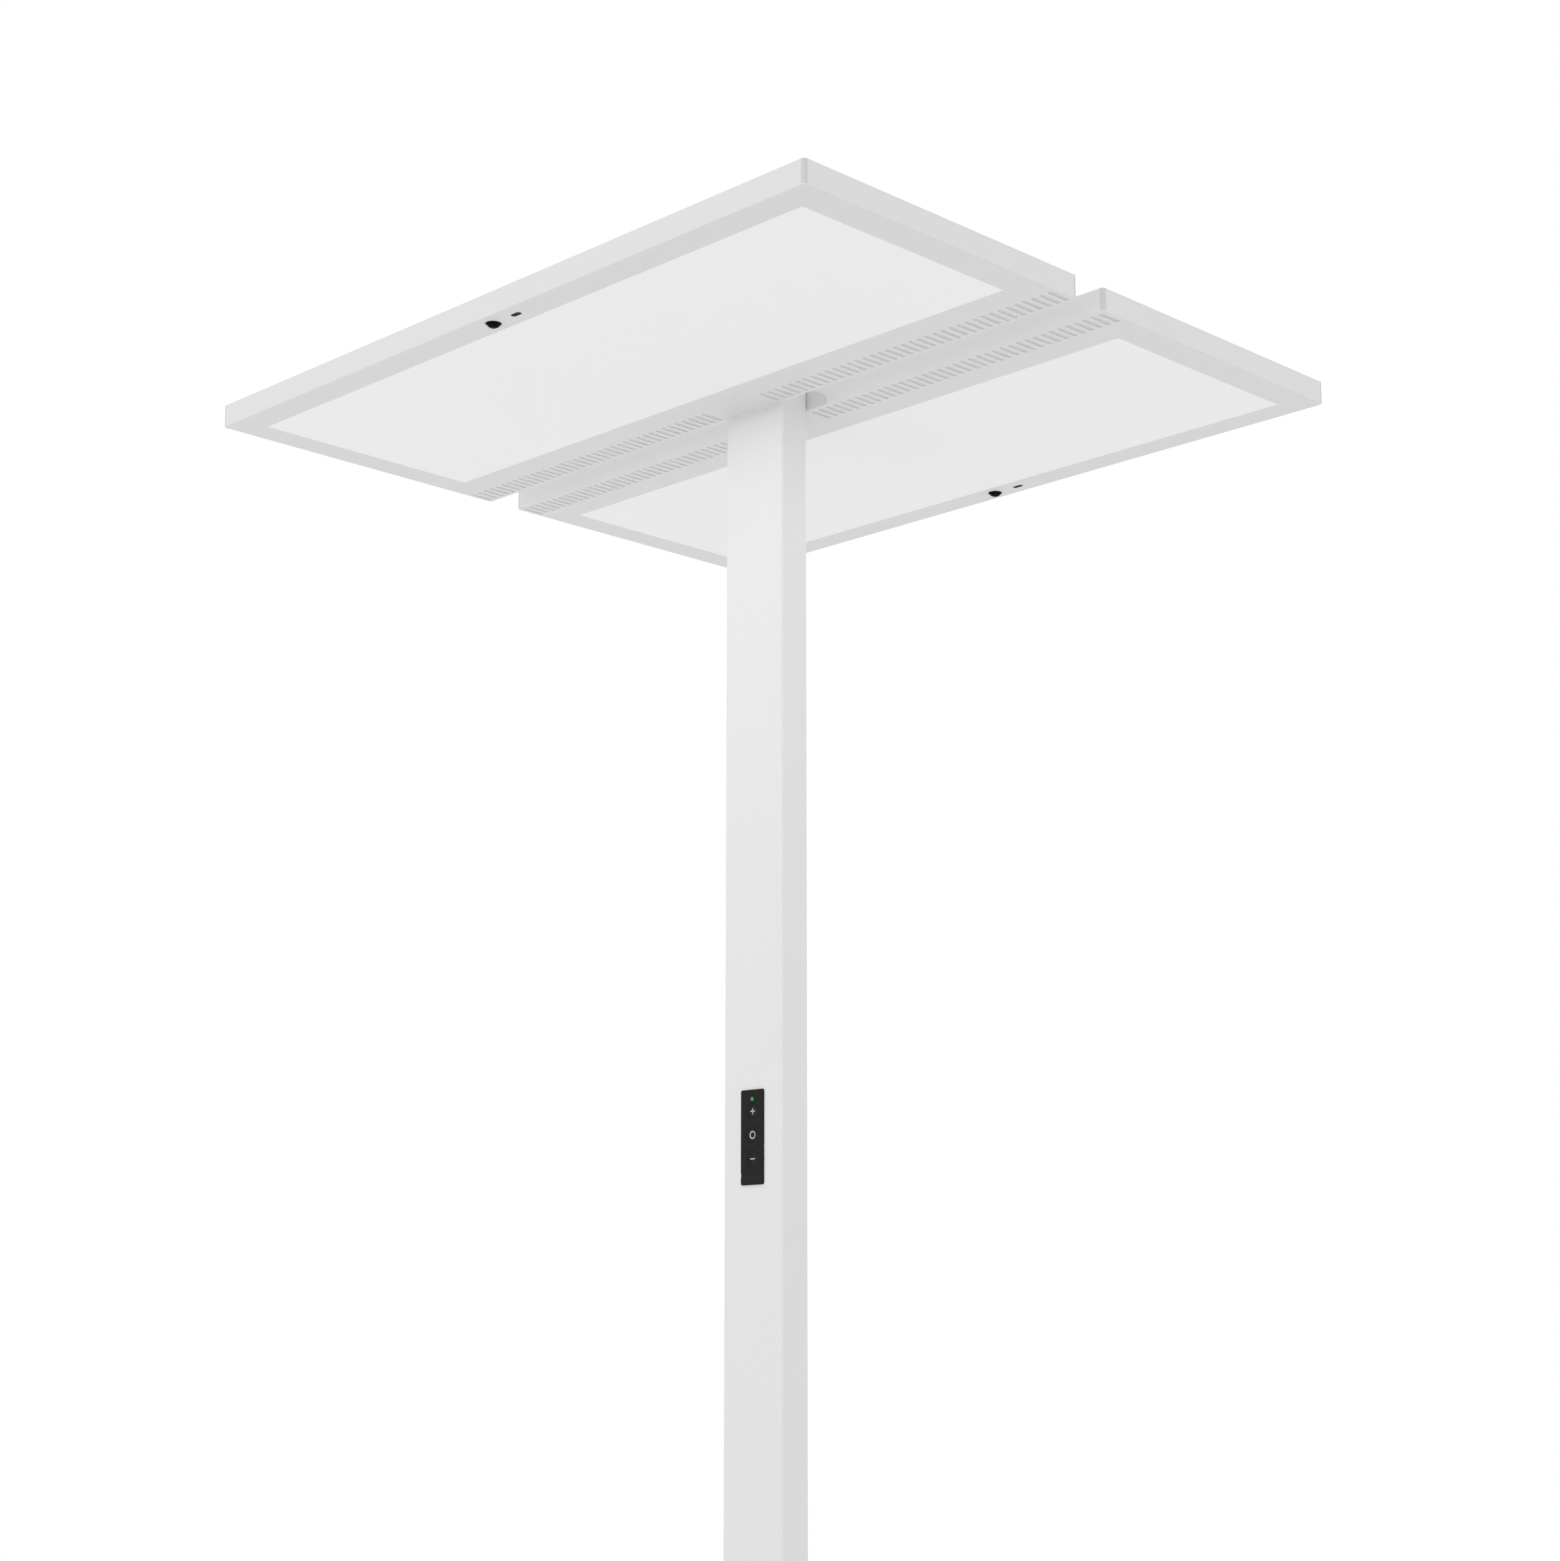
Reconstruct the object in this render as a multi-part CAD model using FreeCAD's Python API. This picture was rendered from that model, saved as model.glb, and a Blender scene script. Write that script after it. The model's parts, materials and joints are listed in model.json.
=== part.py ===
import FreeCAD, Part
import os

# Office floor lamp: a flat base plate, a rectangular pole with a control strip on its front face,
# and a head of two flat light panels, one on each side of the pole's top.
# Millimetres. Origin on the floor under the pole, +Z up, +X along the panels,
# and the control strip faces -Y.

V = FreeCAD.Vector
UP = V(0, 0, 1)
DOWN = V(0, 0, -1)
BACK = V(0, 1, 0)
FRONT = V(0, -1, 0)
SLIGHT = 0.01                   # places nearer than this are one place

# ---------------------------------------------------------------- overall
overall_height = 1950.0         # floor to the top face of the head

# ---------------------------------------------------------------- head panels: outer form
panel_length = 660.0            # along X
panel_width = 277.0             # along Y, each panel
panel_thickness = 18.0
panel_gap = 30.0                # clear gap between the two panels, where the pole comes up
panel_corner_radius = 2.5
panel_edge_radius = 0.5         # around the underside
corner_cover = 3.2              # moulded covers of the upright corners, along each side
corner_cover_floor = 0.8        # left of the tray's bottom under a cover
tray_wall = 1.5                 # bottom and sides of the tray
bar_outer = 24.4                # frame bar along the outer long edge
bar_inner = 50.0                # vented frame bar beside the pole
bar_end = 26.0                  # frame bars at the two short ends

# vent slots, two half rows on each inner bar
vent_count = 38                 # slots in a half row
vent_first_x = 33.0             # centre of the slot nearest the pole
vent_end_margin = 5.6           # last slot's centre to the panel's end
vent_width = 3.6
vent_length = 21.0
vent_centre = 14.0              # from the panel's inner edge
vent_mesh_thickness = 0.4
vent_mesh_margin = 1.5          # mesh past the slots' ends

# ---------------------------------------------------------------- head panels: light stack
window_clearance = 0.1          # diffuser or cover to the edge of its window
flange_overlap = 4.5            # flange of a diffuser or cover behind the edge of its window
diffuser_flange = 2.0
guide_overlap = 2.5             # light guide behind the edge of the window
guide_thickness = 4.0
reflector_thickness = 0.5
carrier_thickness = 1.5
carrier_clearance = 0.5         # carrier to the tray's sides
strip_board = 1.0               # thickness of the upright light strip's board
led_depth = 0.5                 # light source on its board
led_gap = 0.1                   # light source to the edge of the light guide
led_length = 3.0
led_margin = 0.5                # strip board past its light sources, above and below
strip_led_count = 36
uplight_length = 500.0          # window for the upward light, in the lid
uplight_width = 140.0
uplight_board_length = 480.0
uplight_board_width = 116.0
uplight_board_thickness = 1.6
uplight_led_height = 1.0
uplight_led_columns = 24
uplight_led_rows = 3
cover_flange = 1.5
lid_thickness = 1.5
lid_clearance = 0.3             # lid to the tray's sides

# ---------------------------------------------------------------- head panels: fastening
boss_radius = 4.5
boss_from_end = 9.5             # boss axis to the tray's end wall, inside
boss_first_row = 10.0           # past the inner bar
boss_last_row = 13.5            # from the outer wall, inside
pillar_radius = 4.0
pillar_from_end = 23.5
pillar_spacing_x = 200.0        # the two pillars behind the outer bar
small_screw_radius = 1.5
small_screw_length = 5.0        # below the sheet that it holds
small_head_radius = 2.75
small_head_height = 2.0
screw_clearance = 0.1           # radial, every screw in its hole
tongue_width = 112.0            # part of the carrier that reaches the pole
tongue_boss_from_edge = 10.0
tongue_boss_from_vent = 8.5     # boss axis to the vent slots' outer ends
tongue_pillar_from_edge = 8.0
tongue_pillar_inset = 12.0      # from the panel's inner edge

# ---------------------------------------------------------------- head panels: electronics
driver_length = 230.0
driver_width = 32.0
driver_height = 10.5
driver_from_tongue = 6.0
driver_clearance = 3.5          # driver to the diffuser's flange
driver_rail_height = 2.0
driver_rail_width = 3.0
driver_rail_from_vent = 2.0
driver_terminal_length = 22.0
driver_terminal_drop = 3.0
sensor_inset = 12.2             # sensor axes to the panel's outer edge
motion_lens_radius = 6.0
motion_lens_height = 3.5        # below the panel's underside
motion_lens_wall = 0.8
motion_flange_radius = 7.2
light_lens_x = 25.9
light_lens_length = 9.6
light_lens_width = 3.6
light_flange = 1.2
lens_clearance = 0.1            # each lens in its hole
lens_flange_height = 2.5        # the sensor board rests on it
sensor_board_half_width = 6.6
sensor_board_margin = 10.0      # past the axes of the two sensors, along X
sensor_board_thickness = 1.6
motion_can_radius = 4.2
motion_can_height = 3.0
sensor_plug_length = 12.0
sensor_plug_width = 5.0

# ---------------------------------------------------------------- pole
pole_width = 63.5               # along X
pole_depth = 27.6               # along Y
pole_wall = 2.2
pole_edge_radius = 2.0
pole_inner_radius = 1.0
cap_thickness = 2.0
cap_leg_thickness = 1.2
cap_leg_depth = 16.0
cap_leg_clearance = 0.3         # legs above the block that carries the beam
insert_clearance = 0.2          # blocks inside the pole, each side

# ---------------------------------------------------------------- head to pole
beam_width = 56.0
beam_thickness = 4.0
beam_reach = 42.0               # past each panel's inner edge
beam_clearance = 0.3            # beam in the slots of the walls
beam_screw_radius = 2.0
beam_head_radius = 3.6
beam_head_height = 2.2
beam_screw_x = 18.0
beam_screw_inset = 14.0         # first row, from the panel's inner edge
beam_screw_from_end = 9.0       # second row, from the beam's end
beam_screw_depth = 3.0          # below the carrier
thread_boss_radius = 4.0
thread_boss_height = 3.5
block_height = 42.0
block_screw_depth = 14.0
plate_half_length = 52.0        # coupling plates between the pole and the panels
plate_bottom = 0.3              # above the panel's underside
plate_top = 13.4                # leaves the beam's slot open at the top
plate_shoulder = 6.2            # where the slope at each end meets the upright edge
plate_top_half_length = 41.0    # where it meets the top
plate_corner_radius = 3.5
set_screw_radius = 2.5
set_screw_length = 8.0
set_screw_x = 14.0
set_screw_drop = 22.0           # below the block's top, or above the pole's foot

# ---------------------------------------------------------------- wiring in the pole
wiring_radius = 3.0
wiring_x = -23.5
clip_thickness = 1.2
clip_half_width = 5.0
clip_height = 10.0
clip_count = 5
clip_margin = 120.0             # from the ends of the wiring
wiring_clearance = 0.3

# ---------------------------------------------------------------- base
base_length = 450.0             # along X
base_width = 330.0              # along Y
base_thickness = 12.0
base_corner_radius = 12.0
base_edge_radius = 1.5
pad_radius = 15.0
pad_height = 3.0
pad_recess = 1.0
pad_clearance = 0.3
pad_inset = 35.0                # pad axis to the base's edges
foot_height = 40.0
base_screw_radius = 4.0
base_screw_head_radius = 8.0
base_screw_x = 18.0
base_screw_depth = 28.0         # into the foot insert
bushing_height = 58.0           # bore axis above the top of the base
bushing_bore_radius = 3.6
bushing_body_radius = 5.5
bushing_flange_radius = 8.0
bushing_flange = 2.0
bushing_tail = 3.0              # past the pole's wall, inside
bushing_clearance = 0.1

# ---------------------------------------------------------------- control strip
strip_width = 24.5
strip_height = 72.2
strip_drop = 540.5              # top of the strip, below the head's underside
strip_thickness = 1.0
strip_corner_radius = 1.6
strip_edge_radius = 0.3         # around the front face
groove_drop = 64.6              # scooped groove's middle, below the strip's top
groove_height = 4.4
groove_depth = 0.55
indicator_drop = 7.2            # below the strip's top
indicator_radius = 1.5
indicator_flange_radius = 2.2
indicator_flange = 0.6
indicator_proud = 0.2
indicator_clearance = 0.1
button_first_drop = 16.4        # upper button's axis, below the strip's top
button_pitch = 18.05
button_radius = 5.7
button_clearance = 0.25
button_flange_radius = 6.6
button_flange = 1.0
button_travel = 0.6
dish_radius = 5.2
dish_depth = 0.8
symbol_length = 4.8
symbol_stroke = 1.2
ring_radius = 3.3
ring_stroke = 1.05
symbol_depth = 0.5
stem_radius = 1.7
stem_clearance = 0.25
housing_width = 20.4
housing_height = 68.0
housing_depth = 10.8            # behind the strip
housing_wall = 1.2
housing_clearance = 0.2         # in the pole's window
board_thickness = 1.6
board_clearance = 0.2           # in the housing
board_peg = 1.7
board_peg_radius = 1.5
board_peg_inset = 3.0
switch_size = 6.2
switch_height = 2.7
switch_floor = 0.7
signal_led_size = 3.0
signal_led_height = 1.4
stem_floor_gap = 0.2            # stem to the bottom of the switch at full travel

# ---------------------------------------------------------------- worked out
underside = overall_height - panel_thickness
half_length = panel_length / 2
inner_edge = panel_gap / 2
z_flange = underside + tray_wall
z_guide = z_flange + diffuser_flange
z_reflector = z_guide + guide_thickness
z_carrier = z_reflector + reflector_thickness
z_carrier_top = z_carrier + carrier_thickness
z_beam_top = z_carrier_top + beam_thickness
z_lid = overall_height - lid_thickness
z_sensor_board = z_flange + lens_flange_height
window_half = half_length - bar_end
window_near = bar_inner
window_far = panel_width - bar_outer
light_middle = (window_near + window_far) / 2
sensor_row = panel_width - sensor_inset
vent_end = vent_centre + vent_length / 2
tongue_half = tongue_width / 2
end_boss_x = half_length - tray_wall - boss_from_end
end_pillar_x = half_length - tray_wall - pillar_from_end
row_first = bar_inner + boss_first_row
row_last = panel_width - tray_wall - boss_last_row
row_middle = (row_first + row_last) / 2
pole_inner_half_x = pole_width / 2 - pole_wall
pole_inner_half_y = pole_depth / 2 - pole_wall
z_base = pad_height - pad_recess
z_base_top = z_base + base_thickness
z_pole_top = overall_height - cap_thickness
z_foot_top = z_base_top + foot_height
pole_front = -pole_depth / 2
strip_face = pole_front - strip_thickness
z_strip_top = underside - strip_drop
z_strip_middle = z_strip_top - strip_height / 2
button_heights = [z_strip_top - button_first_drop - step * button_pitch for step in range(3)]
y_board_back = pole_front + housing_depth - housing_wall - board_peg
y_board_front = y_board_back - board_thickness
y_switch_front = y_board_front - switch_height
y_stem_end = y_board_front - switch_floor - stem_floor_gap - button_travel


# ---------------------------------------------------------------- helpers
def box(x0, x1, y0, y1, z0, z1):
    return Part.makeBox(x1 - x0, y1 - y0, z1 - z0, V(x0, y0, z0))


def centred(half_x, half_y, z0, z1):
    return box(-half_x, half_x, -half_y, half_y, z0, z1)


def edges_along(body, axis):
    found = []
    for edge in body.Edges:
        if abs(edge.tangentAt(edge.FirstParameter).dot(axis)) > 0.99:
            found.append(edge)
    return found


def slab(x0, x1, y0, y1, z0, z1, radius, axis=UP):
    """A block whose four edges along the axis are rounded."""
    body = box(x0, x1, y0, y1, z0, z1)
    return body.makeFillet(radius, edges_along(body, axis))


def eased(body, radius, side):
    """The body with the outline of one end face rounded, the face that lies furthest along side."""
    reach = max(vertex.Point.dot(side) for vertex in body.Vertexes)
    outline = [edge for edge in body.Edges
               if min(vertex.Point.dot(side) for vertex in edge.Vertexes) > reach - SLIGHT]
    return body.makeFillet(radius, outline)


def rod(radius, x, y, z0, z1):
    return Part.makeCylinder(radius, z1 - z0, V(x, y, z0), UP)


def rod_y(radius, x, z, y0, y1):
    return Part.makeCylinder(radius, y1 - y0, V(x, y0, z), BACK)


def slot_y(x, length, width, y, z0, z1):
    """A round-ended bar of the given length along Y."""
    reach = (length - width) / 2
    middle = box(x - width / 2, x + width / 2, y - reach, y + reach, z0, z1)
    ends = [rod(width / 2, x, y + side * reach, z0, z1) for side in (-1, 1)]
    return middle.multiFuse(ends).removeSplitter()


def pill_x(x, length, width, y, z0, z1):
    """A round-ended bar of the given length along X."""
    reach = (length - width) / 2
    middle = box(x - reach, x + reach, y - width / 2, y + width / 2, z0, z1)
    ends = [rod(width / 2, x + side * reach, y, z0, z1) for side in (-1, 1)]
    return middle.multiFuse(ends).removeSplitter()


def pan_screw(x, y, z, shank, length, head_radius, head_height):
    """Screw with its head on z and its shank going down."""
    head = rod(head_radius, x, y, z, z + head_height)
    return head.fuse(rod(shank, x, y, z - length, z)).removeSplitter()


def sunk_screw(x, y, z, sheet, shank, length, head_radius):
    """Countersunk screw, flush with z, its head as deep as the sheet."""
    head = Part.makeCone(shank, head_radius, sheet, V(x, y, z - sheet), UP)
    return head.fuse(rod(shank, x, y, z - sheet - length, z - sheet)).removeSplitter()


def sunk_hole(x, y, z, sheet, shank, head_radius):
    return Part.makeCone(shank, head_radius, sheet, V(x, y, z - sheet), UP)


def joined(body, others):
    return body.multiFuse(others).removeSplitter()


def save(name, *solids):
    shape = solids[0] if len(solids) == 1 else Part.makeCompound(list(solids))
    print(name, "solids", len(shape.Solids), "valid", shape.isValid(), "volume", round(shape.Volume, 1))
    shape.exportStep("parts/" + name + ".step")


# ---------------------------------------------------------------- panel, modelled on the +Y side
def far(distance):
    """Y of a point at the given distance from the panel's inner edge."""
    return inner_edge + distance


def vent_places():
    span = half_length - vent_end_margin - vent_first_x
    step = span / (vent_count - 1)
    return [side * (vent_first_x + step * number) for side in (-1, 1) for number in range(vent_count)]


def boss_places():
    ends = [(side * end_boss_x, row) for side in (-1, 1) for row in (row_first, row_middle, row_last)]
    near = [(side * (tongue_half - tongue_boss_from_edge), vent_end + tongue_boss_from_vent)
            for side in (-1, 1)]
    return ends + near


def pillar_places():
    ends = [(side * end_pillar_x, row) for side in (-1, 1) for row in (row_first, row_middle, row_last)]
    outer = [(side * pillar_spacing_x / 2, row_last) for side in (-1, 1)]
    near = [(side * (tongue_half - tongue_pillar_from_edge), tongue_pillar_inset) for side in (-1, 1)]
    return ends + outer + near


def beam_screw_places():
    rows = (beam_screw_inset, beam_reach - beam_screw_from_end)
    return [(side * beam_screw_x, row) for side in (-1, 1) for row in rows]


def beam_slot(y0, y1):
    """Opening that the beam passes through in a wall."""
    half = beam_width / 2 + beam_clearance
    return box(-half, half, y0, y1, z_carrier_top - beam_clearance, z_beam_top + beam_clearance)


def skin():
    """A panel's bottom and its four sides."""
    body = slab(-half_length, half_length, far(0), far(panel_width), underside, overall_height,
                panel_corner_radius)
    body = eased(body, panel_edge_radius, DOWN)
    cavity = slab(-half_length + tray_wall, half_length - tray_wall, far(tray_wall),
                  far(panel_width - tray_wall), z_flange, overall_height,
                  panel_corner_radius - tray_wall)
    return body.cut(cavity)


def corner_blocks():
    """Room for the covers at the four upright corners."""
    blocks = []
    for side in (-1, 1):
        low, high = sorted((side * half_length, side * (half_length - corner_cover)))
        for row in (0, panel_width - corner_cover):
            blocks.append(box(low, high, far(row), far(row + corner_cover),
                              underside + corner_cover_floor, overall_height))
    return blocks


def corner_covers():
    return [skin().common(block) for block in corner_blocks()]


def tray():
    body = skin().cut(corner_blocks())
    bosses = [rod(boss_radius, x, far(row), z_flange, z_carrier) for x, row in boss_places()]
    body = joined(body, bosses)
    cuts = [box(-window_half, window_half, far(window_near), far(window_far), underside, z_flange)]
    for x in vent_places():
        cuts.append(slot_y(x, vent_length, vent_width, far(vent_centre), underside, z_flange))
    for x, row in boss_places():
        cuts.append(rod(small_screw_radius + screw_clearance, x, far(row),
                        z_carrier_top - small_screw_length - screw_clearance, z_carrier))
    cuts.append(rod(motion_lens_radius + lens_clearance, 0, far(sensor_row), underside, z_flange))
    cuts.append(pill_x(light_lens_x, light_lens_length + 2 * lens_clearance,
                       light_lens_width + 2 * lens_clearance, far(sensor_row), underside, z_flange))
    cuts.append(beam_slot(far(0), far(tray_wall)))
    return body.cut(cuts)


def lid():
    body = slab(-half_length + tray_wall + lid_clearance, half_length - tray_wall - lid_clearance,
                far(tray_wall + lid_clearance), far(panel_width - tray_wall - lid_clearance),
                z_lid, overall_height, panel_corner_radius - tray_wall)
    cuts = [box(-uplight_length / 2, uplight_length / 2, far(light_middle - uplight_width / 2),
                far(light_middle + uplight_width / 2), z_lid, overall_height)]
    for x, row in pillar_places():
        cuts.append(sunk_hole(x, far(row), overall_height, lid_thickness,
                              small_screw_radius + screw_clearance, small_head_radius + screw_clearance))
    return body.cut(cuts)


def stepped_plate(half_x, near, distant, z_plateau, z_seat, z_back):
    """A plate that stands flush in a window, with a flange behind the window's edge."""
    plateau = box(-half_x + window_clearance, half_x - window_clearance, far(near + window_clearance),
                  far(distant - window_clearance), min(z_plateau, z_seat), max(z_plateau, z_seat))
    flange = box(-half_x - flange_overlap, half_x + flange_overlap, far(near - flange_overlap),
                 far(distant + flange_overlap), min(z_seat, z_back), max(z_seat, z_back))
    return plateau.fuse(flange).removeSplitter()


def diffuser():
    return stepped_plate(window_half, window_near, window_far, underside, z_flange, z_guide)


def uplight_cover():
    return stepped_plate(uplight_length / 2, light_middle - uplight_width / 2,
                         light_middle + uplight_width / 2, overall_height, z_lid, z_lid - cover_flange)


def guide_sheet(z0, z1):
    half = window_half + guide_overlap
    return box(-half, half, far(window_near - guide_overlap), far(window_far + guide_overlap), z0, z1)


def led_strips():
    """Two upright boards, one along each long edge of the light guide."""
    strips = []
    half = window_half + guide_overlap
    step = 2 * half / strip_led_count
    for edge, out in ((window_near - guide_overlap, -1), (window_far + guide_overlap, 1)):
        board_y = edge + out * (led_gap + led_depth)
        low, high = sorted((board_y, board_y + out * strip_board))
        board = box(-half, half, far(low), far(high), z_guide, z_carrier)
        low, high = sorted((board_y, edge + out * led_gap))
        leds = []
        for number in range(strip_led_count):
            x = -half + (number + 0.5) * step
            leds.append(box(x - led_length / 2, x + led_length / 2, far(low), far(high),
                            z_guide + led_margin, z_reflector - led_margin))
        strips.append(joined(board, leds))
    return strips


def carrier():
    """Sheet that holds the light stack in the tray and is bolted to the beam."""
    half = half_length - tray_wall - carrier_clearance
    main = box(-half, half, far(window_near - flange_overlap), far(panel_width - tray_wall - carrier_clearance),
               z_carrier, z_carrier_top)
    tongue = box(-tongue_half, tongue_half, far(tray_wall + carrier_clearance),
                 far(window_near - flange_overlap), z_carrier, z_carrier_top)
    parts = [tongue]
    for x, row in pillar_places():
        parts.append(rod(pillar_radius, x, far(row), z_carrier_top, z_lid))
    for x, row in beam_screw_places():
        parts.append(rod(thread_boss_radius, x, far(row), z_carrier - thread_boss_height, z_carrier))
    body = joined(main, parts)
    cuts = []
    for x, row in boss_places():
        cuts.append(rod(small_screw_radius + screw_clearance, x, far(row), z_carrier, z_carrier_top))
    for x, row in pillar_places():
        cuts.append(rod(small_screw_radius + screw_clearance, x, far(row),
                        z_lid - small_screw_length - screw_clearance, z_lid))
    for x, row in beam_screw_places():
        cuts.append(rod(beam_screw_radius + screw_clearance, x, far(row),
                        z_carrier - thread_boss_height, z_carrier_top))
    return body.cut(cuts)


def uplight_board():
    half_x = uplight_board_length / 2
    half_y = uplight_board_width / 2
    top = z_carrier_top + uplight_board_thickness
    board = box(-half_x, half_x, far(light_middle - half_y), far(light_middle + half_y), z_carrier_top, top)
    leds = []
    for column in range(uplight_led_columns):
        x = -half_x + (column + 0.5) * uplight_board_length / uplight_led_columns
        for row in range(uplight_led_rows):
            y = far(light_middle - half_y + (row + 0.5) * uplight_board_width / uplight_led_rows)
            leds.append(box(x - led_length / 2, x + led_length / 2, y - led_length / 2,
                            y + led_length / 2, top, top + uplight_led_height))
    return joined(board, leds)


def drivers():
    """Two flat power supplies behind the vent slots, on rails that leave the slots free."""
    outer = window_near - flange_overlap - driver_clearance
    inner = outer - driver_width
    start = tongue_half + driver_from_tongue
    z_body = z_flange + driver_rail_height
    rail_inner = vent_end + driver_rail_from_vent
    found = []
    for side in (-1, 1):
        low, high = sorted((side * start, side * (start + driver_length)))
        body = box(low, high, far(inner), far(outer), z_body, z_body + driver_height)
        ends = [box(x, x + driver_terminal_length, far(inner), far(outer),
                    z_body + driver_height - driver_terminal_drop, z_body + driver_height)
                for x in (low, high - driver_terminal_length)]
        body = body.cut(ends)
        rails = [box(low, high, far(rail_inner), far(rail_inner + driver_rail_width), z_flange, z_body),
                 box(low, high, far(outer - driver_rail_width), far(outer), z_flange, z_body)]
        found.append(joined(body, rails))
    return found


def vent_mesh():
    half = half_length - tray_wall - carrier_clearance
    return box(-half, half, far(tray_wall + carrier_clearance), far(vent_end + vent_mesh_margin), z_flange,
               z_flange + vent_mesh_thickness)


def cap_of_sphere(radius, centre_z, y, z0, z1):
    ball = Part.makeSphere(radius, V(0, y, centre_z))
    return ball.common(box(-radius, radius, y - radius, y + radius, z0, z1))


def motion_lens():
    """Domed lens of the motion sensor, hollow, with a flange behind the tray."""
    y = far(sensor_row)
    sphere = (motion_lens_radius ** 2 + motion_lens_height ** 2) / (2 * motion_lens_height)
    low = underside - motion_lens_height
    centre_z = low + sphere
    dome = cap_of_sphere(sphere, centre_z, y, low, underside)
    neck = rod(motion_lens_radius, 0, y, underside, z_flange)
    flange = rod(motion_flange_radius, 0, y, z_flange, z_sensor_board)
    hollow = cap_of_sphere(sphere - motion_lens_wall, centre_z, y, low, underside)
    well = rod(motion_lens_radius - 2 * motion_lens_wall, 0, y, underside, z_sensor_board)
    return joined(dome, [neck, flange]).cut([hollow, well])


def light_lens():
    y = far(sensor_row)
    face = pill_x(light_lens_x, light_lens_length, light_lens_width, y, underside, z_flange)
    flange = pill_x(light_lens_x, light_lens_length + 2 * light_flange,
                    light_lens_width + 2 * light_flange, y, z_flange, z_sensor_board)
    return face.fuse(flange).removeSplitter()


def sensor_board():
    y = far(sensor_row)
    top = z_sensor_board + sensor_board_thickness
    board = box(-sensor_board_margin, light_lens_x + sensor_board_margin, y - sensor_board_half_width,
                y + sensor_board_half_width, z_sensor_board, top)
    can = rod(motion_can_radius, 0, y, z_sensor_board - motion_can_height, z_sensor_board)
    plug_x = light_lens_x / 2
    plug = box(plug_x - sensor_plug_length / 2, plug_x + sensor_plug_length / 2,
               y - sensor_plug_width / 2, y + sensor_plug_width / 2, top, z_carrier)
    return joined(board, [can, plug])


def lid_screws():
    return [sunk_screw(x, far(row), overall_height, lid_thickness, small_screw_radius,
                       small_screw_length, small_head_radius) for x, row in pillar_places()]


def carrier_screws():
    return [pan_screw(x, far(row), z_carrier_top, small_screw_radius, small_screw_length,
                      small_head_radius, small_head_height) for x, row in boss_places()]


def coupling_plate():
    """Rounded plate that fills the gap between the pole and the panel's inner side."""
    y0 = pole_depth / 2
    y1 = inner_edge
    half_outline = [(plate_half_length, plate_bottom), (plate_half_length, plate_shoulder),
                    (plate_top_half_length, plate_top)]
    outline = half_outline + [(-x, z) for x, z in reversed(half_outline)]
    corners = [V(x, y0, underside + z) for x, z in outline]
    face = Part.Face(Part.makePolygon(corners + corners[:1]))
    body = face.extrude(V(0, y1 - y0, 0))
    body = body.makeFillet(plate_corner_radius, edges_along(body, BACK))
    return body.cut(beam_slot(y0, y1))


def to_front(shape):
    return shape.mirror(V(0, 0, 0), BACK)


def panels():
    makers = {
        "tray": tray, "lid": lid, "diffuser": diffuser, "uplight_cover": uplight_cover,
        "light_guide": lambda: guide_sheet(z_guide, z_reflector),
        "reflector": lambda: guide_sheet(z_reflector, z_carrier),
        "led_strips": led_strips, "carrier": carrier, "uplight_board": uplight_board,
        "drivers": drivers, "vent_mesh": vent_mesh, "motion_lens": motion_lens,
        "light_sensor_lens": light_lens, "sensor_board": sensor_board, "lid_screws": lid_screws,
        "carrier_screws": carrier_screws, "coupling_plate": coupling_plate,
        "corner_covers": corner_covers,
    }
    for name, make in makers.items():
        made = make()
        solids = made if isinstance(made, list) else [made]
        save("rear_" + name, *solids)
        save("front_" + name, *[to_front(solid) for solid in solids])


# ---------------------------------------------------------------- pole and what is in it
def pole():
    body = slab(-pole_width / 2, pole_width / 2, -pole_depth / 2, pole_depth / 2, z_base_top,
                z_pole_top, pole_edge_radius)
    bore = slab(-pole_inner_half_x, pole_inner_half_x, -pole_inner_half_y, pole_inner_half_y,
                z_base_top, z_pole_top, pole_inner_radius)
    half_x = housing_width / 2 + housing_clearance
    half_z = housing_height / 2 + housing_clearance
    window = box(-half_x, half_x, pole_front, 0, z_strip_middle - half_z, z_strip_middle + half_z)
    cuts = [bore, window, beam_slot(-pole_depth / 2, pole_depth / 2)]
    cuts.append(rod_y(bushing_body_radius + bushing_clearance, 0, z_base_top + bushing_height, 0,
                      pole_depth / 2))
    for x, z in head_set_places() + foot_set_places():
        cuts.append(rod_y(set_screw_radius + screw_clearance, x, z, 0, pole_depth / 2))
    return body.cut(cuts)


def pole_cap():
    plate = slab(-pole_width / 2, pole_width / 2, -pole_depth / 2, pole_depth / 2, z_pole_top,
                 overall_height, pole_edge_radius)
    outer = pole_inner_half_x - insert_clearance
    legs = []
    for side in (-1, 1):
        low, high = sorted((side * outer, side * (outer - cap_leg_thickness)))
        legs.append(box(low, high, -cap_leg_depth / 2, cap_leg_depth / 2,
                        z_carrier_top + cap_leg_clearance, z_pole_top))
    return joined(plate, legs)


def set_screw_row(z):
    return [(side * set_screw_x, z) for side in (-1, 1)]


def head_set_places():
    return set_screw_row(z_carrier_top - set_screw_drop)


def foot_set_places():
    return set_screw_row(z_base_top + set_screw_drop)


def set_screws(places):
    rear = pole_depth / 2
    return [rod_y(set_screw_radius, x, z, rear - set_screw_length, rear) for x, z in places]


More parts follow.
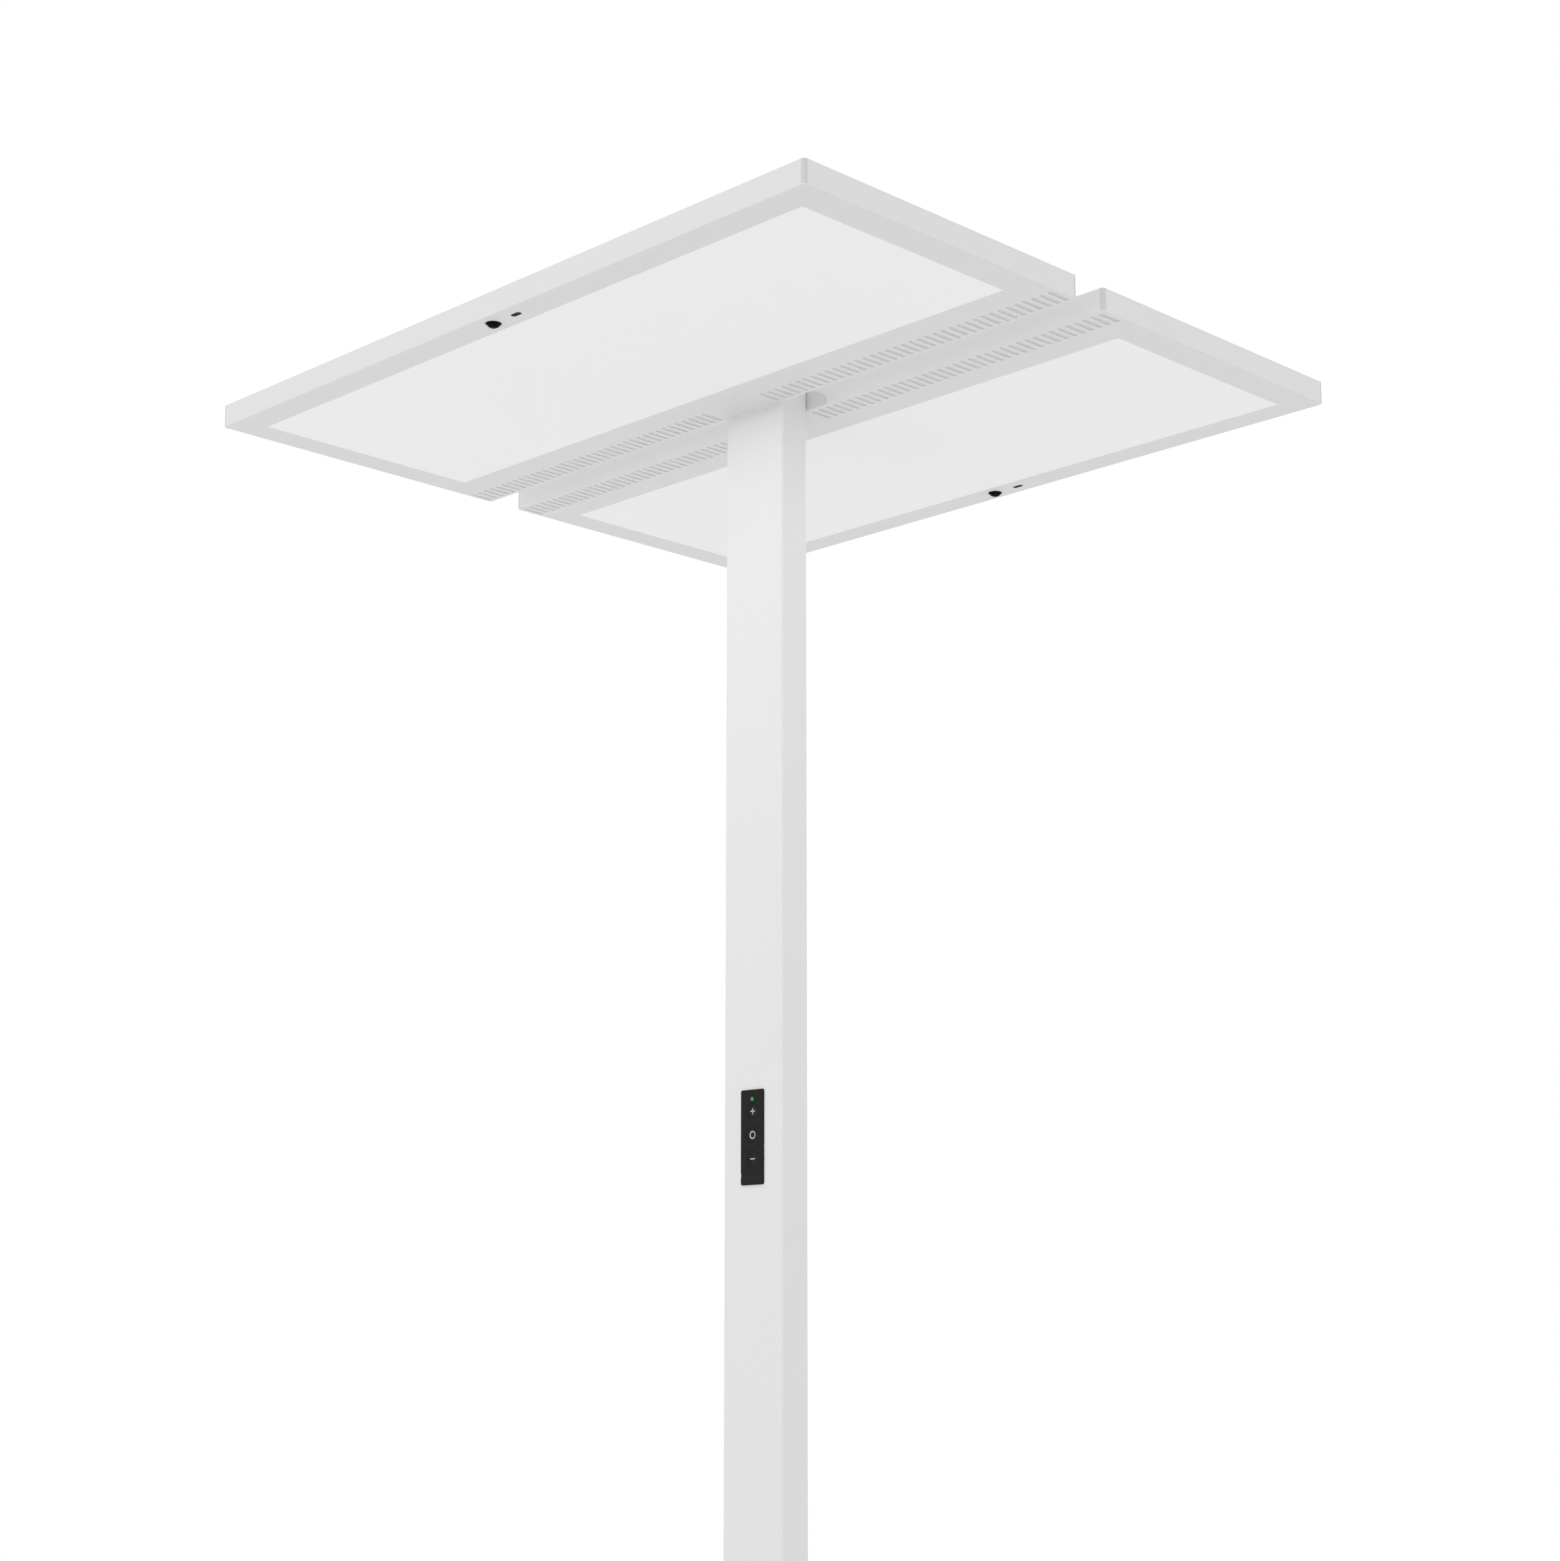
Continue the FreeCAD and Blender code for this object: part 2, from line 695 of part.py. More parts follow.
def set_screw_holes(places):
    inner = pole_depth / 2 - set_screw_length - screw_clearance
    return [rod_y(set_screw_radius + screw_clearance, x, z, inner, pole_depth / 2) for x, z in places]


def inner_block(z0, z1):
    return slab(-pole_inner_half_x + insert_clearance, pole_inner_half_x - insert_clearance,
                -pole_inner_half_y + insert_clearance, pole_inner_half_y - insert_clearance,
                z0, z1, pole_inner_radius)


def wiring_y():
    return pole_inner_half_y - clip_thickness - wiring_radius


def head_block():
    """Block in the pole's top that carries the beam."""
    body = inner_block(z_carrier_top - block_height, z_carrier_top)
    cuts = [rod(wiring_radius + wiring_clearance, wiring_x, wiring_y(), z_carrier_top - block_height,
                z_carrier_top)]
    for x, y in block_screw_places():
        cuts.append(rod(beam_screw_radius + screw_clearance, x, y,
                        z_carrier_top - block_screw_depth - screw_clearance, z_carrier_top))
    cuts.extend(set_screw_holes(head_set_places()))
    return body.cut(cuts)


def block_screw_places():
    return [(side * beam_screw_x / 2, 0) for side in (-1, 1)]


def head_beam():
    reach = inner_edge + beam_reach
    body = centred(beam_width / 2, reach, z_carrier_top, z_beam_top)
    cuts = []
    for x, row in beam_screw_places():
        for side in (-1, 1):
            cuts.append(rod(beam_screw_radius + screw_clearance, x, side * far(row), z_carrier_top,
                            z_beam_top))
    for x, y in block_screw_places():
        cuts.append(rod(beam_screw_radius + screw_clearance, x, y, z_carrier_top, z_beam_top))
    return body.cut(cuts)


def beam_screws():
    found = []
    length = beam_thickness + carrier_thickness + beam_screw_depth
    for x, row in beam_screw_places():
        for side in (-1, 1):
            found.append(pan_screw(x, side * far(row), z_beam_top, beam_screw_radius, length,
                                   beam_head_radius, beam_head_height))
    for x, y in block_screw_places():
        found.append(pan_screw(x, y, z_beam_top, beam_screw_radius, beam_thickness + block_screw_depth,
                               beam_head_radius, beam_head_height))
    return found


def wiring_ends():
    return z_foot_top + wiring_clearance, z_carrier_top - wiring_clearance


def pole_wiring():
    low, high = wiring_ends()
    return rod(wiring_radius, wiring_x, wiring_y(), low, high)


def wiring_clips():
    low = z_foot_top + clip_margin
    high = z_carrier_top - block_height - clip_margin
    found = []
    for number in range(clip_count):
        z = low + (high - low) * number / (clip_count - 1)
        block = box(wiring_x - clip_half_width, wiring_x + clip_half_width,
                    wiring_y() - wiring_radius - clip_thickness, pole_inner_half_y,
                    z - clip_height / 2, z + clip_height / 2)
        found.append(block.cut(rod(wiring_radius + screw_clearance, wiring_x, wiring_y(),
                                   z - clip_height / 2, z + clip_height / 2)))
    return found


# ---------------------------------------------------------------- base
def pad_places():
    half_x = base_length / 2 - pad_inset
    half_y = base_width / 2 - pad_inset
    return [(x, y) for x in (-half_x, half_x) for y in (-half_y, half_y)]


def base_screw_places():
    return [(side * base_screw_x, 0) for side in (-1, 1)]


def base_screw_sink():
    """Depth of the countersink, for a right-angled head."""
    return base_screw_head_radius - base_screw_radius


def base_plate():
    body = slab(-base_length / 2, base_length / 2, -base_width / 2, base_width / 2, z_base,
                z_base_top, base_corner_radius)
    body = eased(body, base_edge_radius, UP)
    cuts = [rod(pad_radius + pad_clearance, x, y, z_base, z_base + pad_recess) for x, y in pad_places()]
    for x, y in base_screw_places():
        cuts.append(rod(base_screw_radius + screw_clearance, x, y, z_base, z_base_top))
        cuts.append(Part.makeCone(base_screw_head_radius + screw_clearance,
                                  base_screw_radius + screw_clearance, base_screw_sink(),
                                  V(x, y, z_base), UP))
    return body.cut(cuts)


def base_screws():
    found = []
    for x, y in base_screw_places():
        head = Part.makeCone(base_screw_head_radius, base_screw_radius, base_screw_sink(),
                             V(x, y, z_base), UP)
        shank = rod(base_screw_radius, x, y, z_base + base_screw_sink(), z_base_top + base_screw_depth)
        found.append(head.fuse(shank).removeSplitter())
    return found


def foot_insert():
    body = inner_block(z_base_top, z_foot_top)
    cuts = [rod(base_screw_radius + screw_clearance, x, y, z_base_top,
                z_base_top + base_screw_depth + screw_clearance) for x, y in base_screw_places()]
    cuts.extend(set_screw_holes(foot_set_places()))
    return body.cut(cuts)


def pads():
    return [rod(pad_radius, x, y, 0, pad_height) for x, y in pad_places()]


def cord_bushing():
    """Bushing in the rear of the pole where the mains cord would come in."""
    z = z_base_top + bushing_height
    rear = pole_depth / 2
    body = rod_y(bushing_body_radius, 0, z, rear - pole_wall - bushing_tail, rear)
    flange = rod_y(bushing_flange_radius, 0, z, rear, rear + bushing_flange)
    bore = rod_y(bushing_bore_radius, 0, z, rear - pole_wall - bushing_tail, rear + bushing_flange)
    return body.fuse(flange).removeSplitter().cut(bore)


# ---------------------------------------------------------------- control strip
def control_plate():
    body = slab(-strip_width / 2, strip_width / 2, strip_face, pole_front,
                z_strip_top - strip_height, z_strip_top, strip_corner_radius, BACK)
    body = eased(body, strip_edge_radius, FRONT)
    scoop = ((groove_height / 2) ** 2 + groove_depth ** 2) / (2 * groove_depth)
    start = V(-strip_width / 2, strip_face + groove_depth - scoop, z_strip_top - groove_drop)
    cuts = [Part.makeCylinder(scoop, strip_width, start, V(1, 0, 0))]
    for z in button_heights:
        cuts.append(rod_y(button_radius + button_clearance, 0, z, strip_face, pole_front))
    cuts.append(rod_y(indicator_radius + indicator_clearance, 0, z_strip_top - indicator_drop,
                      strip_face, pole_front))
    return body.cut(cuts)


def control_housing():
    """Tub behind the strip that holds the control board."""
    half_x = housing_width / 2
    half_z = housing_height / 2
    back = pole_front + housing_depth
    body = box(-half_x, half_x, pole_front, back, z_strip_middle - half_z, z_strip_middle + half_z)
    body = body.cut(box(-half_x + housing_wall, half_x - housing_wall, pole_front, back - housing_wall,
                        z_strip_middle - half_z + housing_wall, z_strip_middle + half_z - housing_wall))
    pegs = []
    for x in (-1, 1):
        for z in (-1, 1):
            pegs.append(rod_y(board_peg_radius, x * (half_x - housing_wall - board_peg_inset),
                              z_strip_middle + z * (half_z - housing_wall - board_peg_inset),
                              y_board_back, back - housing_wall))
    return joined(body, pegs)


def control_board():
    half_x = housing_width / 2 - housing_wall - board_clearance
    half_z = housing_height / 2 - housing_wall - board_clearance
    board = box(-half_x, half_x, y_board_front, y_board_back, z_strip_middle - half_z,
                z_strip_middle + half_z)
    z = z_strip_top - indicator_drop
    led = box(-signal_led_size / 2, signal_led_size / 2, y_board_front - signal_led_height,
              y_board_front, z - signal_led_size / 2, z + signal_led_size / 2)
    return board.fuse(led).removeSplitter()


def control_switches():
    half = switch_size / 2
    found = []
    for z in button_heights:
        base = box(-half, half, y_switch_front, y_board_front, z - half, z + half)
        found.append(base.cut(rod_y(stem_radius + stem_clearance, 0, z, y_switch_front,
                                    y_board_front - switch_floor)))
    return found


def indicator_light():
    z = z_strip_top - indicator_drop
    y_end = y_board_front - signal_led_height
    pipe = rod_y(indicator_radius, 0, z, strip_face - indicator_proud, y_end)
    flange = rod_y(indicator_flange_radius, 0, z, pole_front, pole_front + indicator_flange)
    return pipe.fuse(flange).removeSplitter()


def button_body(z):
    cap = rod_y(button_radius, 0, z, strip_face, pole_front)
    flange = rod_y(button_flange_radius, 0, z, pole_front, pole_front + button_flange)
    stem = rod_y(stem_radius, 0, z, pole_front + button_flange, y_stem_end)
    sphere = (dish_radius ** 2 + dish_depth ** 2) / (2 * dish_depth)
    dish = Part.makeSphere(sphere, V(0, strip_face + dish_depth - sphere, z))
    return joined(cap, [flange, stem]).cut(dish)


def symbol_bar(z, upright):
    long_half = symbol_length / 2
    short_half = symbol_stroke / 2
    half_x, half_z = (short_half, long_half) if upright else (long_half, short_half)
    return box(-half_x, half_x, strip_face, strip_face + dish_depth + symbol_depth, z - half_z, z + half_z)


def symbol_ring(z):
    y1 = strip_face + dish_depth + symbol_depth
    outer = rod_y(ring_radius, 0, z, strip_face, y1)
    return outer.cut(rod_y(ring_radius - ring_stroke, 0, z, strip_face, y1))


def buttons():
    """Three push buttons, each with its inlaid symbol."""
    z_more, z_power, z_less = button_heights
    symbols = {
        "brighter": (z_more, symbol_bar(z_more, False).fuse(symbol_bar(z_more, True)).removeSplitter()),
        "power": (z_power, symbol_ring(z_power)),
        "dimmer": (z_less, symbol_bar(z_less, False)),
    }
    for name, (z, prism) in symbols.items():
        body = button_body(z)
        save(name + "_button", body.cut(prism))
        save(name + "_symbol", body.common(prism))


def main():
    os.makedirs("parts", exist_ok=True)
    save("base_plate", base_plate())
    save("rubber_pads", *pads())
    save("foot_insert", foot_insert())
    save("base_screws", *base_screws())
    save("foot_set_screws", *set_screws(foot_set_places()))
    save("cord_bushing", cord_bushing())
    save("pole", pole())
    save("pole_cap", pole_cap())
    save("pole_wiring", pole_wiring())
    save("wiring_clips", *wiring_clips())
    save("head_block", head_block())
    save("head_set_screws", *set_screws(head_set_places()))
    save("head_beam", head_beam())
    save("beam_screws", *beam_screws())
    save("control_plate", control_plate())
    save("control_housing", control_housing())
    save("control_board", control_board())
    save("control_switches", *control_switches())
    save("indicator_light", indicator_light())
    buttons()
    panels()


main()
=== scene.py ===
import json
import math

import bmesh
import bpy
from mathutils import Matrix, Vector

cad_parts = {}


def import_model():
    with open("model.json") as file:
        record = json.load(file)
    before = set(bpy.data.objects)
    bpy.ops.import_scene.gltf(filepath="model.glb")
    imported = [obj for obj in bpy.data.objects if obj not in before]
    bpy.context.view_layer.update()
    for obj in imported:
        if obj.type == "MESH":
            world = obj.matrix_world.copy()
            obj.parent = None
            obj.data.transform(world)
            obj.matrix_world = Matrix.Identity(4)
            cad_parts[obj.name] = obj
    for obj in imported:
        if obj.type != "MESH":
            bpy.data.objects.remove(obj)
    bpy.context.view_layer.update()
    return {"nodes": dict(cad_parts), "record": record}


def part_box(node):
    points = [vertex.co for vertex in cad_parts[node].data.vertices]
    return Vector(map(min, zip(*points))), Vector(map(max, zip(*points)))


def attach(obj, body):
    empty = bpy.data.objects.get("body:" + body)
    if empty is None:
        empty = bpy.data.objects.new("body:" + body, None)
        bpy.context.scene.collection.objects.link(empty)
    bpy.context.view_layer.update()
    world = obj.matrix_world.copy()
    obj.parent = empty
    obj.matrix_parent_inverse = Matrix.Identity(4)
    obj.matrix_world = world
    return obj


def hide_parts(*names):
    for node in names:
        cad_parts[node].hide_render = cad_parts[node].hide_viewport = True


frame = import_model()

# Office floor lamp in white powder coat: two flat light panels on a rectangular pole, a black
# strip of push buttons and a flat base plate. Metres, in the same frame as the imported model.

MM = 0.001
NODES = frame["nodes"]
LAMP = "lamp"
SIDES = ("front", "rear")

# ---------------------------------------------------------------- picture
PHOTO_LONG_SIDE = 1561
SENSOR = 36.0
FOCAL_PIXELS = 2742.9
CAMERA_PLACE = (1.4896, -1.4711, 1.1867)
CAMERA_TURN = 45.063            # degrees to the left of straight ahead along +Y
CAMERA_LIFT = 10.428            # degrees above the horizon
CAMERA_SHIFT = 0.05             # of the frame's long side, upward

# ---------------------------------------------------------------- light
AMBIENT = 1.0                   # world light on the object
BACKGROUND = 1.0                # world as the camera and reflections see it
KEY_PLACE = (-1.0, -4.4, 1.4)
KEY_TARGET = (0, 0, 1.3)
KEY_SIZE = (2.6, 2.6)
KEY_WATTS = 17
GLOW_WATTS = 0.12               # dimmed light of each whole panel
GLOW_SIZE = (0.64, 0.265)
SPILL_WATTS = 0.42              # and of its outer part alone
SPILL_SIZE = (0.64, 0.10)
SPILL_OFFSET = 0.07             # outward from the panel's middle
LIGHT_DROP = 0.002              # of both below the panel's underside
FLOOR_HALF = 6.0
FLOOR_COLOUR = (0.88, 0.88, 0.88, 1)
FLOOR_FADE = (1.6, 4.6)         # from plain floor to white, distance from the pole

# ---------------------------------------------------------------- colours, linear
WHITE_PAINT = (0.70, 0.70, 0.70)
WHITE_PAINT_LIGHT = (0.72, 0.72, 0.72)
OPAL = (0.90, 0.90, 0.90)
OPAL_LIGHT = (0.915, 0.915, 0.915)
MOULDED_WHITE = (0.68, 0.68, 0.68)
MESH_WHITE = (0.66, 0.66, 0.66)
# Filter mesh in the vent slots: the weave is its own pattern, and its grey, below the white mesh,
# is painted shade of the slots.
MESH_WEAVE_AND_SHADE_PALE = (0.66, 0.66, 0.66)
MESH_WEAVE_AND_SHADE_PALE_DARK = (0.57, 0.57, 0.57)
BLACK_PLASTIC = (0.0075, 0.0075, 0.0075)
BLACK_PLASTIC_LIGHT = (0.011, 0.011, 0.011)
LENS_BLACK = (0.004, 0.004, 0.004)
LENS_BLACK_LIGHT = (0.006, 0.006, 0.006)
GREY_PLASTIC = (0.30, 0.30, 0.30)
GREY_PLASTIC_LIGHT = (0.34, 0.34, 0.34)
# Coupling plates, one part in two tones: the rear plate's grey is partly its satin finish and
# partly painted shade of the gap between the panels. The front plate's pale tone, lighter than the
# white paint, is painted light over that gap's shade.
COUPLING_SHADE_GREY = (0.60, 0.60, 0.60)
COUPLING_SHADE_GREY_LIGHT = (0.64, 0.64, 0.64)
COUPLING_LIT_PALE = (0.84, 0.84, 0.84)
COUPLING_LIT_PALE_LIGHT = (0.87, 0.87, 0.87)
# Grey of the corner covers: painted shade of the rounded upright corners of the panels.
CORNER_SHADE_GREY = (0.575, 0.575, 0.575)
CORNER_SHADE_GREY_LIGHT = (0.61, 0.61, 0.61)
SYMBOL_GREY = (0.42, 0.42, 0.42)
SYMBOL_GREY_LIGHT = (0.46, 0.46, 0.46)
INDICATOR_GREEN = (0.045, 0.22, 0.04)
INDICATOR_GREEN_LIGHT = (0.065, 0.28, 0.055)
RUBBER_BLACK = (0.018, 0.018, 0.018)
RUBBER_BLACK_LIGHT = (0.030, 0.030, 0.030)
STEEL = (0.52, 0.53, 0.54)
ALUMINIUM = (0.62, 0.63, 0.64)
BOARD_GREEN = (0.02, 0.10, 0.04)


# ---------------------------------------------------------------- materials
def new_material(name):
    material = bpy.data.materials.new(name)
    material.use_nodes = True
    return material, material.node_tree, material.node_tree.nodes["Principled BSDF"]


def noise_of(tree, scale, detail=2.0, stretch=None):
    """Noise in the object's own metres; stretch scales the three axes apart."""
    place = tree.nodes.new("ShaderNodeTexCoord")
    noise = tree.nodes.new("ShaderNodeTexNoise")
    noise.inputs["Scale"].default_value = scale
    noise.inputs["Detail"].default_value = detail
    if stretch is None:
        tree.links.new(place.outputs["Object"], noise.inputs["Vector"])
    else:
        mapping = tree.nodes.new("ShaderNodeMapping")
        mapping.inputs["Scale"].default_value = stretch
        tree.links.new(place.outputs["Object"], mapping.inputs["Vector"])
        tree.links.new(mapping.outputs["Vector"], noise.inputs["Vector"])
    return noise.outputs["Fac"]


def blend_colour(tree, bsdf, factor, dark, light):
    mix = tree.nodes.new("ShaderNodeMix")
    mix.data_type = "RGBA"
    mix.inputs["A"].default_value = (*dark, 1)
    mix.inputs["B"].default_value = (*light, 1)
    tree.links.new(factor, mix.inputs["Factor"])
    tree.links.new(mix.outputs["Result"], bsdf.inputs["Base Color"])


def vary_roughness(tree, bsdf, factor, low, high):
    spread = tree.nodes.new("ShaderNodeMapRange")
    spread.inputs["To Min"].default_value = low
    spread.inputs["To Max"].default_value = high
    tree.links.new(factor, spread.inputs["Value"])
    tree.links.new(spread.outputs["Result"], bsdf.inputs["Roughness"])


def bump(tree, bsdf, height, depth, strength, under=None):
    """Bump of the given depth in metres, chained on top of another bump if one is given."""
    node = tree.nodes.new("ShaderNodeBump")
    node.inputs["Strength"].default_value = strength
    node.inputs["Distance"].default_value = depth
    tree.links.new(height, node.inputs["Height"])
    if under is not None:
        tree.links.new(under.outputs["Normal"], node.inputs["Normal"])
    tree.links.new(node.outputs["Normal"], bsdf.inputs["Normal"])
    return node


def powder_coat(name, dark, light):
    """Satin powder coat: soft orange peel under a fine grain."""
    material, tree, bsdf = new_material(name)
    bsdf.inputs["Specular IOR Level"].default_value = 0.45
    blend_colour(tree, bsdf, noise_of(tree, 9.0, 3.0), dark, light)
    vary_roughness(tree, bsdf, noise_of(tree, 60.0, 2.0), 0.40, 0.50)
    peel = bump(tree, bsdf, noise_of(tree, 420.0, 1.0), 0.012 * MM, 0.5)
    bump(tree, bsdf, noise_of(tree, 2400.0, 2.0), 0.004 * MM, 0.4, peel)
    return material


def plastic(name, dark, light, rough, grain_scale=1800.0, grain_depth=0.010, shine=0.5):
    """Moulded plastic with a fine eroded grain."""
    material, tree, bsdf = new_material(name)
    blend_colour(tree, bsdf, noise_of(tree, 120.0, 2.0), dark, light)
    vary_roughness(tree, bsdf, noise_of(tree, 300.0, 2.0), rough - 0.05, rough + 0.05)
    bump(tree, bsdf, noise_of(tree, grain_scale, 3.0), grain_depth * MM, 0.6)
    bsdf.inputs["Specular IOR Level"].default_value = shine
    return material


PRISM_SCALE = 260.0


def opal_acrylic(name):
    """Satin opal sheet with a very fine prism pattern, as pyramids in two directions."""
    material, tree, bsdf = new_material(name)
    bsdf.inputs["Specular IOR Level"].default_value = 0.4
    blend_colour(tree, bsdf, noise_of(tree, 5.0, 2.0), OPAL, OPAL_LIGHT)
    vary_roughness(tree, bsdf, noise_of(tree, 40.0, 2.0), 0.50, 0.58)
    place = tree.nodes.new("ShaderNodeTexCoord")
    heights = []
    for direction in ("X", "Y"):
        wave = tree.nodes.new("ShaderNodeTexWave")
        wave.bands_direction = direction
        wave.wave_profile = "TRI"
        wave.inputs["Scale"].default_value = PRISM_SCALE
        tree.links.new(place.outputs["Object"], wave.inputs["Vector"])
        heights.append(wave.outputs["Fac"])
    both = tree.nodes.new("ShaderNodeMath")
    both.operation = "ADD"
    for index, height in enumerate(heights):
        tree.links.new(height, both.inputs[index])
    bump(tree, bsdf, both.outputs["Value"], 0.010 * MM, 0.25)
    return material


def clear_acrylic(name):
    material, tree, bsdf = new_material(name)
    bsdf.inputs["Base Color"].default_value = (0.93, 0.95, 0.95, 1)
    bsdf.inputs["Transmission Weight"].default_value = 0.6
    bsdf.inputs["IOR"].default_value = 1.49
    vary_roughness(tree, bsdf, noise_of(tree, 30.0, 2.0), 0.04, 0.10)
    return material


def dark_lens(name):
    """Glossy, nearly black plastic of the sensor lenses, with faint swirls."""
    material, tree, bsdf = new_material(name)
    bsdf.inputs["Specular IOR Level"].default_value = 0.03
    blend_colour(tree, bsdf, noise_of(tree, 260.0, 2.0), LENS_BLACK, LENS_BLACK_LIGHT)
    vary_roughness(tree, bsdf, noise_of(tree, 500.0, 2.0), 0.16, 0.26)
    bump(tree, bsdf, noise_of(tree, 900.0, 1.0), 0.004 * MM, 0.4)
    return material


def glowing_pipe(name):
    """Green light pipe of the indicator, faintly lit from inside."""
    material, tree, bsdf = new_material(name)
    blend_colour(tree, bsdf, noise_of(tree, 700.0, 2.0), INDICATOR_GREEN, INDICATOR_GREEN_LIGHT)
    vary_roughness(tree, bsdf, noise_of(tree, 900.0, 2.0), 0.22, 0.32)
    bsdf.inputs["Specular IOR Level"].default_value = 0.25
    bsdf.inputs["Emission Color"].default_value = (0.05, 0.62, 0.04, 1)
    bsdf.inputs["Emission Strength"].default_value = 0.16
    return material


def brushed_metal(name, colour, rough, stretch):
    material, tree, bsdf = new_material(name)
    bsdf.inputs["Metallic"].default_value = 1.0
    lines = noise_of(tree, 400.0, 3.0, stretch)
    blend_colour(tree, bsdf, lines, [c * 0.92 for c in colour], colour)
    vary_roughness(tree, bsdf, lines, rough - 0.06, rough + 0.08)
    bump(tree, bsdf, lines, 0.006 * MM, 0.4)
    return material


def woven_mesh(name):
    """Fine white filter mesh behind the vent slots; the weave is the mesh's own pattern and its
    grey tone is painted shade of the slots.
    """
    material, tree, bsdf = new_material(name)
    place = tree.nodes.new("ShaderNodeTexCoord")
    cells = tree.nodes.new("ShaderNodeTexVoronoi")
    cells.inputs["Scale"].default_value = 1100.0
    tree.links.new(place.outputs["Object"], cells.inputs["Vector"])
    blend_colour(tree, bsdf, cells.outputs["Distance"], MESH_WEAVE_AND_SHADE_PALE_DARK, MESH_WEAVE_AND_SHADE_PALE)
    vary_roughness(tree, bsdf, noise_of(tree, 200.0, 2.0), 0.75, 0.9)
    bump(tree, bsdf, cells.outputs["Distance"], 0.05 * MM, 0.5)
    return material


def circuit_board(name, colour):
    """Solder mask with faint tracks."""
    material, tree, bsdf = new_material(name)
    place = tree.nodes.new("ShaderNodeTexCoord")
    tracks = tree.nodes.new("ShaderNodeTexBrick")
    tracks.inputs["Scale"].default_value = 160.0
    tracks.inputs["Color1"].default_value = (*colour, 1)
    tracks.inputs["Color2"].default_value = (*[c * 0.9 for c in colour], 1)
    tracks.inputs["Mortar"].default_value = (*[min(1.0, c * 1.3) for c in colour], 1)
    tree.links.new(place.outputs["Object"], tracks.inputs["Vector"])
    tree.links.new(tracks.outputs["Color"], bsdf.inputs["Base Color"])
    vary_roughness(tree, bsdf, noise_of(tree, 200.0, 2.0), 0.30, 0.42)
    return material


def make_materials():
    grain = (1, 1, 14)
    return {
        "white_aluminium": powder_coat("powder_coat_white", WHITE_PAINT, WHITE_PAINT_LIGHT),
        "white_steel": powder_coat("powder_coat_base", WHITE_PAINT, WHITE_PAINT_LIGHT),
        "opal_acrylic": opal_acrylic("opal_acrylic_satin"),
        "clear_acrylic": clear_acrylic("light_guide_acrylic"),
        "white_film": plastic("reflector_film", MESH_WHITE, OPAL, 0.6, 900.0, 0.004),
        "bare_aluminium": brushed_metal("mill_aluminium", ALUMINIUM, 0.38, grain),
        "zinc_steel": brushed_metal("zinc_plated_steel", STEEL, 0.30, grain),
        "white_board": circuit_board("white_solder_mask", MESH_WHITE),
        "green_board": circuit_board("green_solder_mask", BOARD_GREEN),
        "white_case": plastic("driver_case", MESH_WHITE, MOULDED_WHITE, 0.5),
        "white_cap": plastic("moulded_white", WHITE_PAINT, WHITE_PAINT_LIGHT, 0.45),
        "black_plastic": plastic("moulded_black", BLACK_PLASTIC, BLACK_PLASTIC_LIGHT, 0.36,
                                 shine=0.12),
        "black_lens": dark_lens("sensor_lens_black"),
        "grey_plastic": plastic("moulded_grey", GREY_PLASTIC, GREY_PLASTIC_LIGHT, 0.55),
        "grey_symbol": plastic("symbol_grey", SYMBOL_GREY, SYMBOL_GREY_LIGHT, 0.5, 1500.0, 0.004),
        "green_pipe": glowing_pipe("indicator_green"),
        "black_rubber": plastic("rubber_black", RUBBER_BLACK, RUBBER_BLACK_LIGHT, 0.75, 1400.0,
                                0.03),
        "cable_sheath": plastic("cable_sheath_white", MESH_WHITE, MOULDED_WHITE, 0.45),
        "vent_mesh": woven_mesh("filter_mesh_weave_and_slot_shade"),
        # rear coupling plate: grey partly painted shade of the gap; front coupling plate: pale tone
        # is painted light
        "coupling_plate": plastic("coupling_plate_grey_painted_shade", COUPLING_SHADE_GREY, COUPLING_SHADE_GREY_LIGHT, 0.5),
        "front_coupling_plate": plastic("coupling_plate_pale_painted_light", COUPLING_LIT_PALE, COUPLING_LIT_PALE_LIGHT,
                                        0.5),
        # corner covers: their grey is painted shade of the rounded upright corners
        "corner_covers": plastic("corner_cover_grey_painted_shade", CORNER_SHADE_GREY, CORNER_SHADE_GREY_LIGHT, 0.5),
    }


OWN_LOOKS = ("vent_mesh", "coupling_plate", "corner_covers", "front_coupling_plate")


def dress_nodes(materials):
    """Material of each node's slot, or its own; the last ending that fits a name counts."""
    slots = {part["node"]: part["material_slot"] for part in frame["record"]["subparts"]}
    for name, node in NODES.items():
        material = materials[slots[name]]
        for kind in OWN_LOOKS:
            if name.endswith(kind):
                material = materials[kind]
        for slot in node.material_slots:
            slot.material = material


# ---------------------------------------------------------------- mesh helpers
class Place:
    """A centre and three axes: u and v across, n out of the face."""

    def __init__(self, centre, u, v, n):
        self.centre = Vector(centre)
        self.u = Vector(u)
        self.v = Vector(v)
        self.n = Vector(n)

    def point(self, a, b, height):
        return self.centre + self.u * a + self.v * b + self.n * height


def facing_up(centre):
    return Place(centre, (1, 0, 0), (0, 1, 0), (0, 0, 1))


def facing_down(centre):
    return Place(centre, (1, 0, 0), (0, -1, 0), (0, 0, -1))


def facing_front(centre):
    return Place(centre, (1, 0, 0), (0, 0, 1), (0, -1, 0))


def facing_rear(centre):
    return Place(centre, (-1, 0, 0), (0, 0, 1), (0, 1, 0))


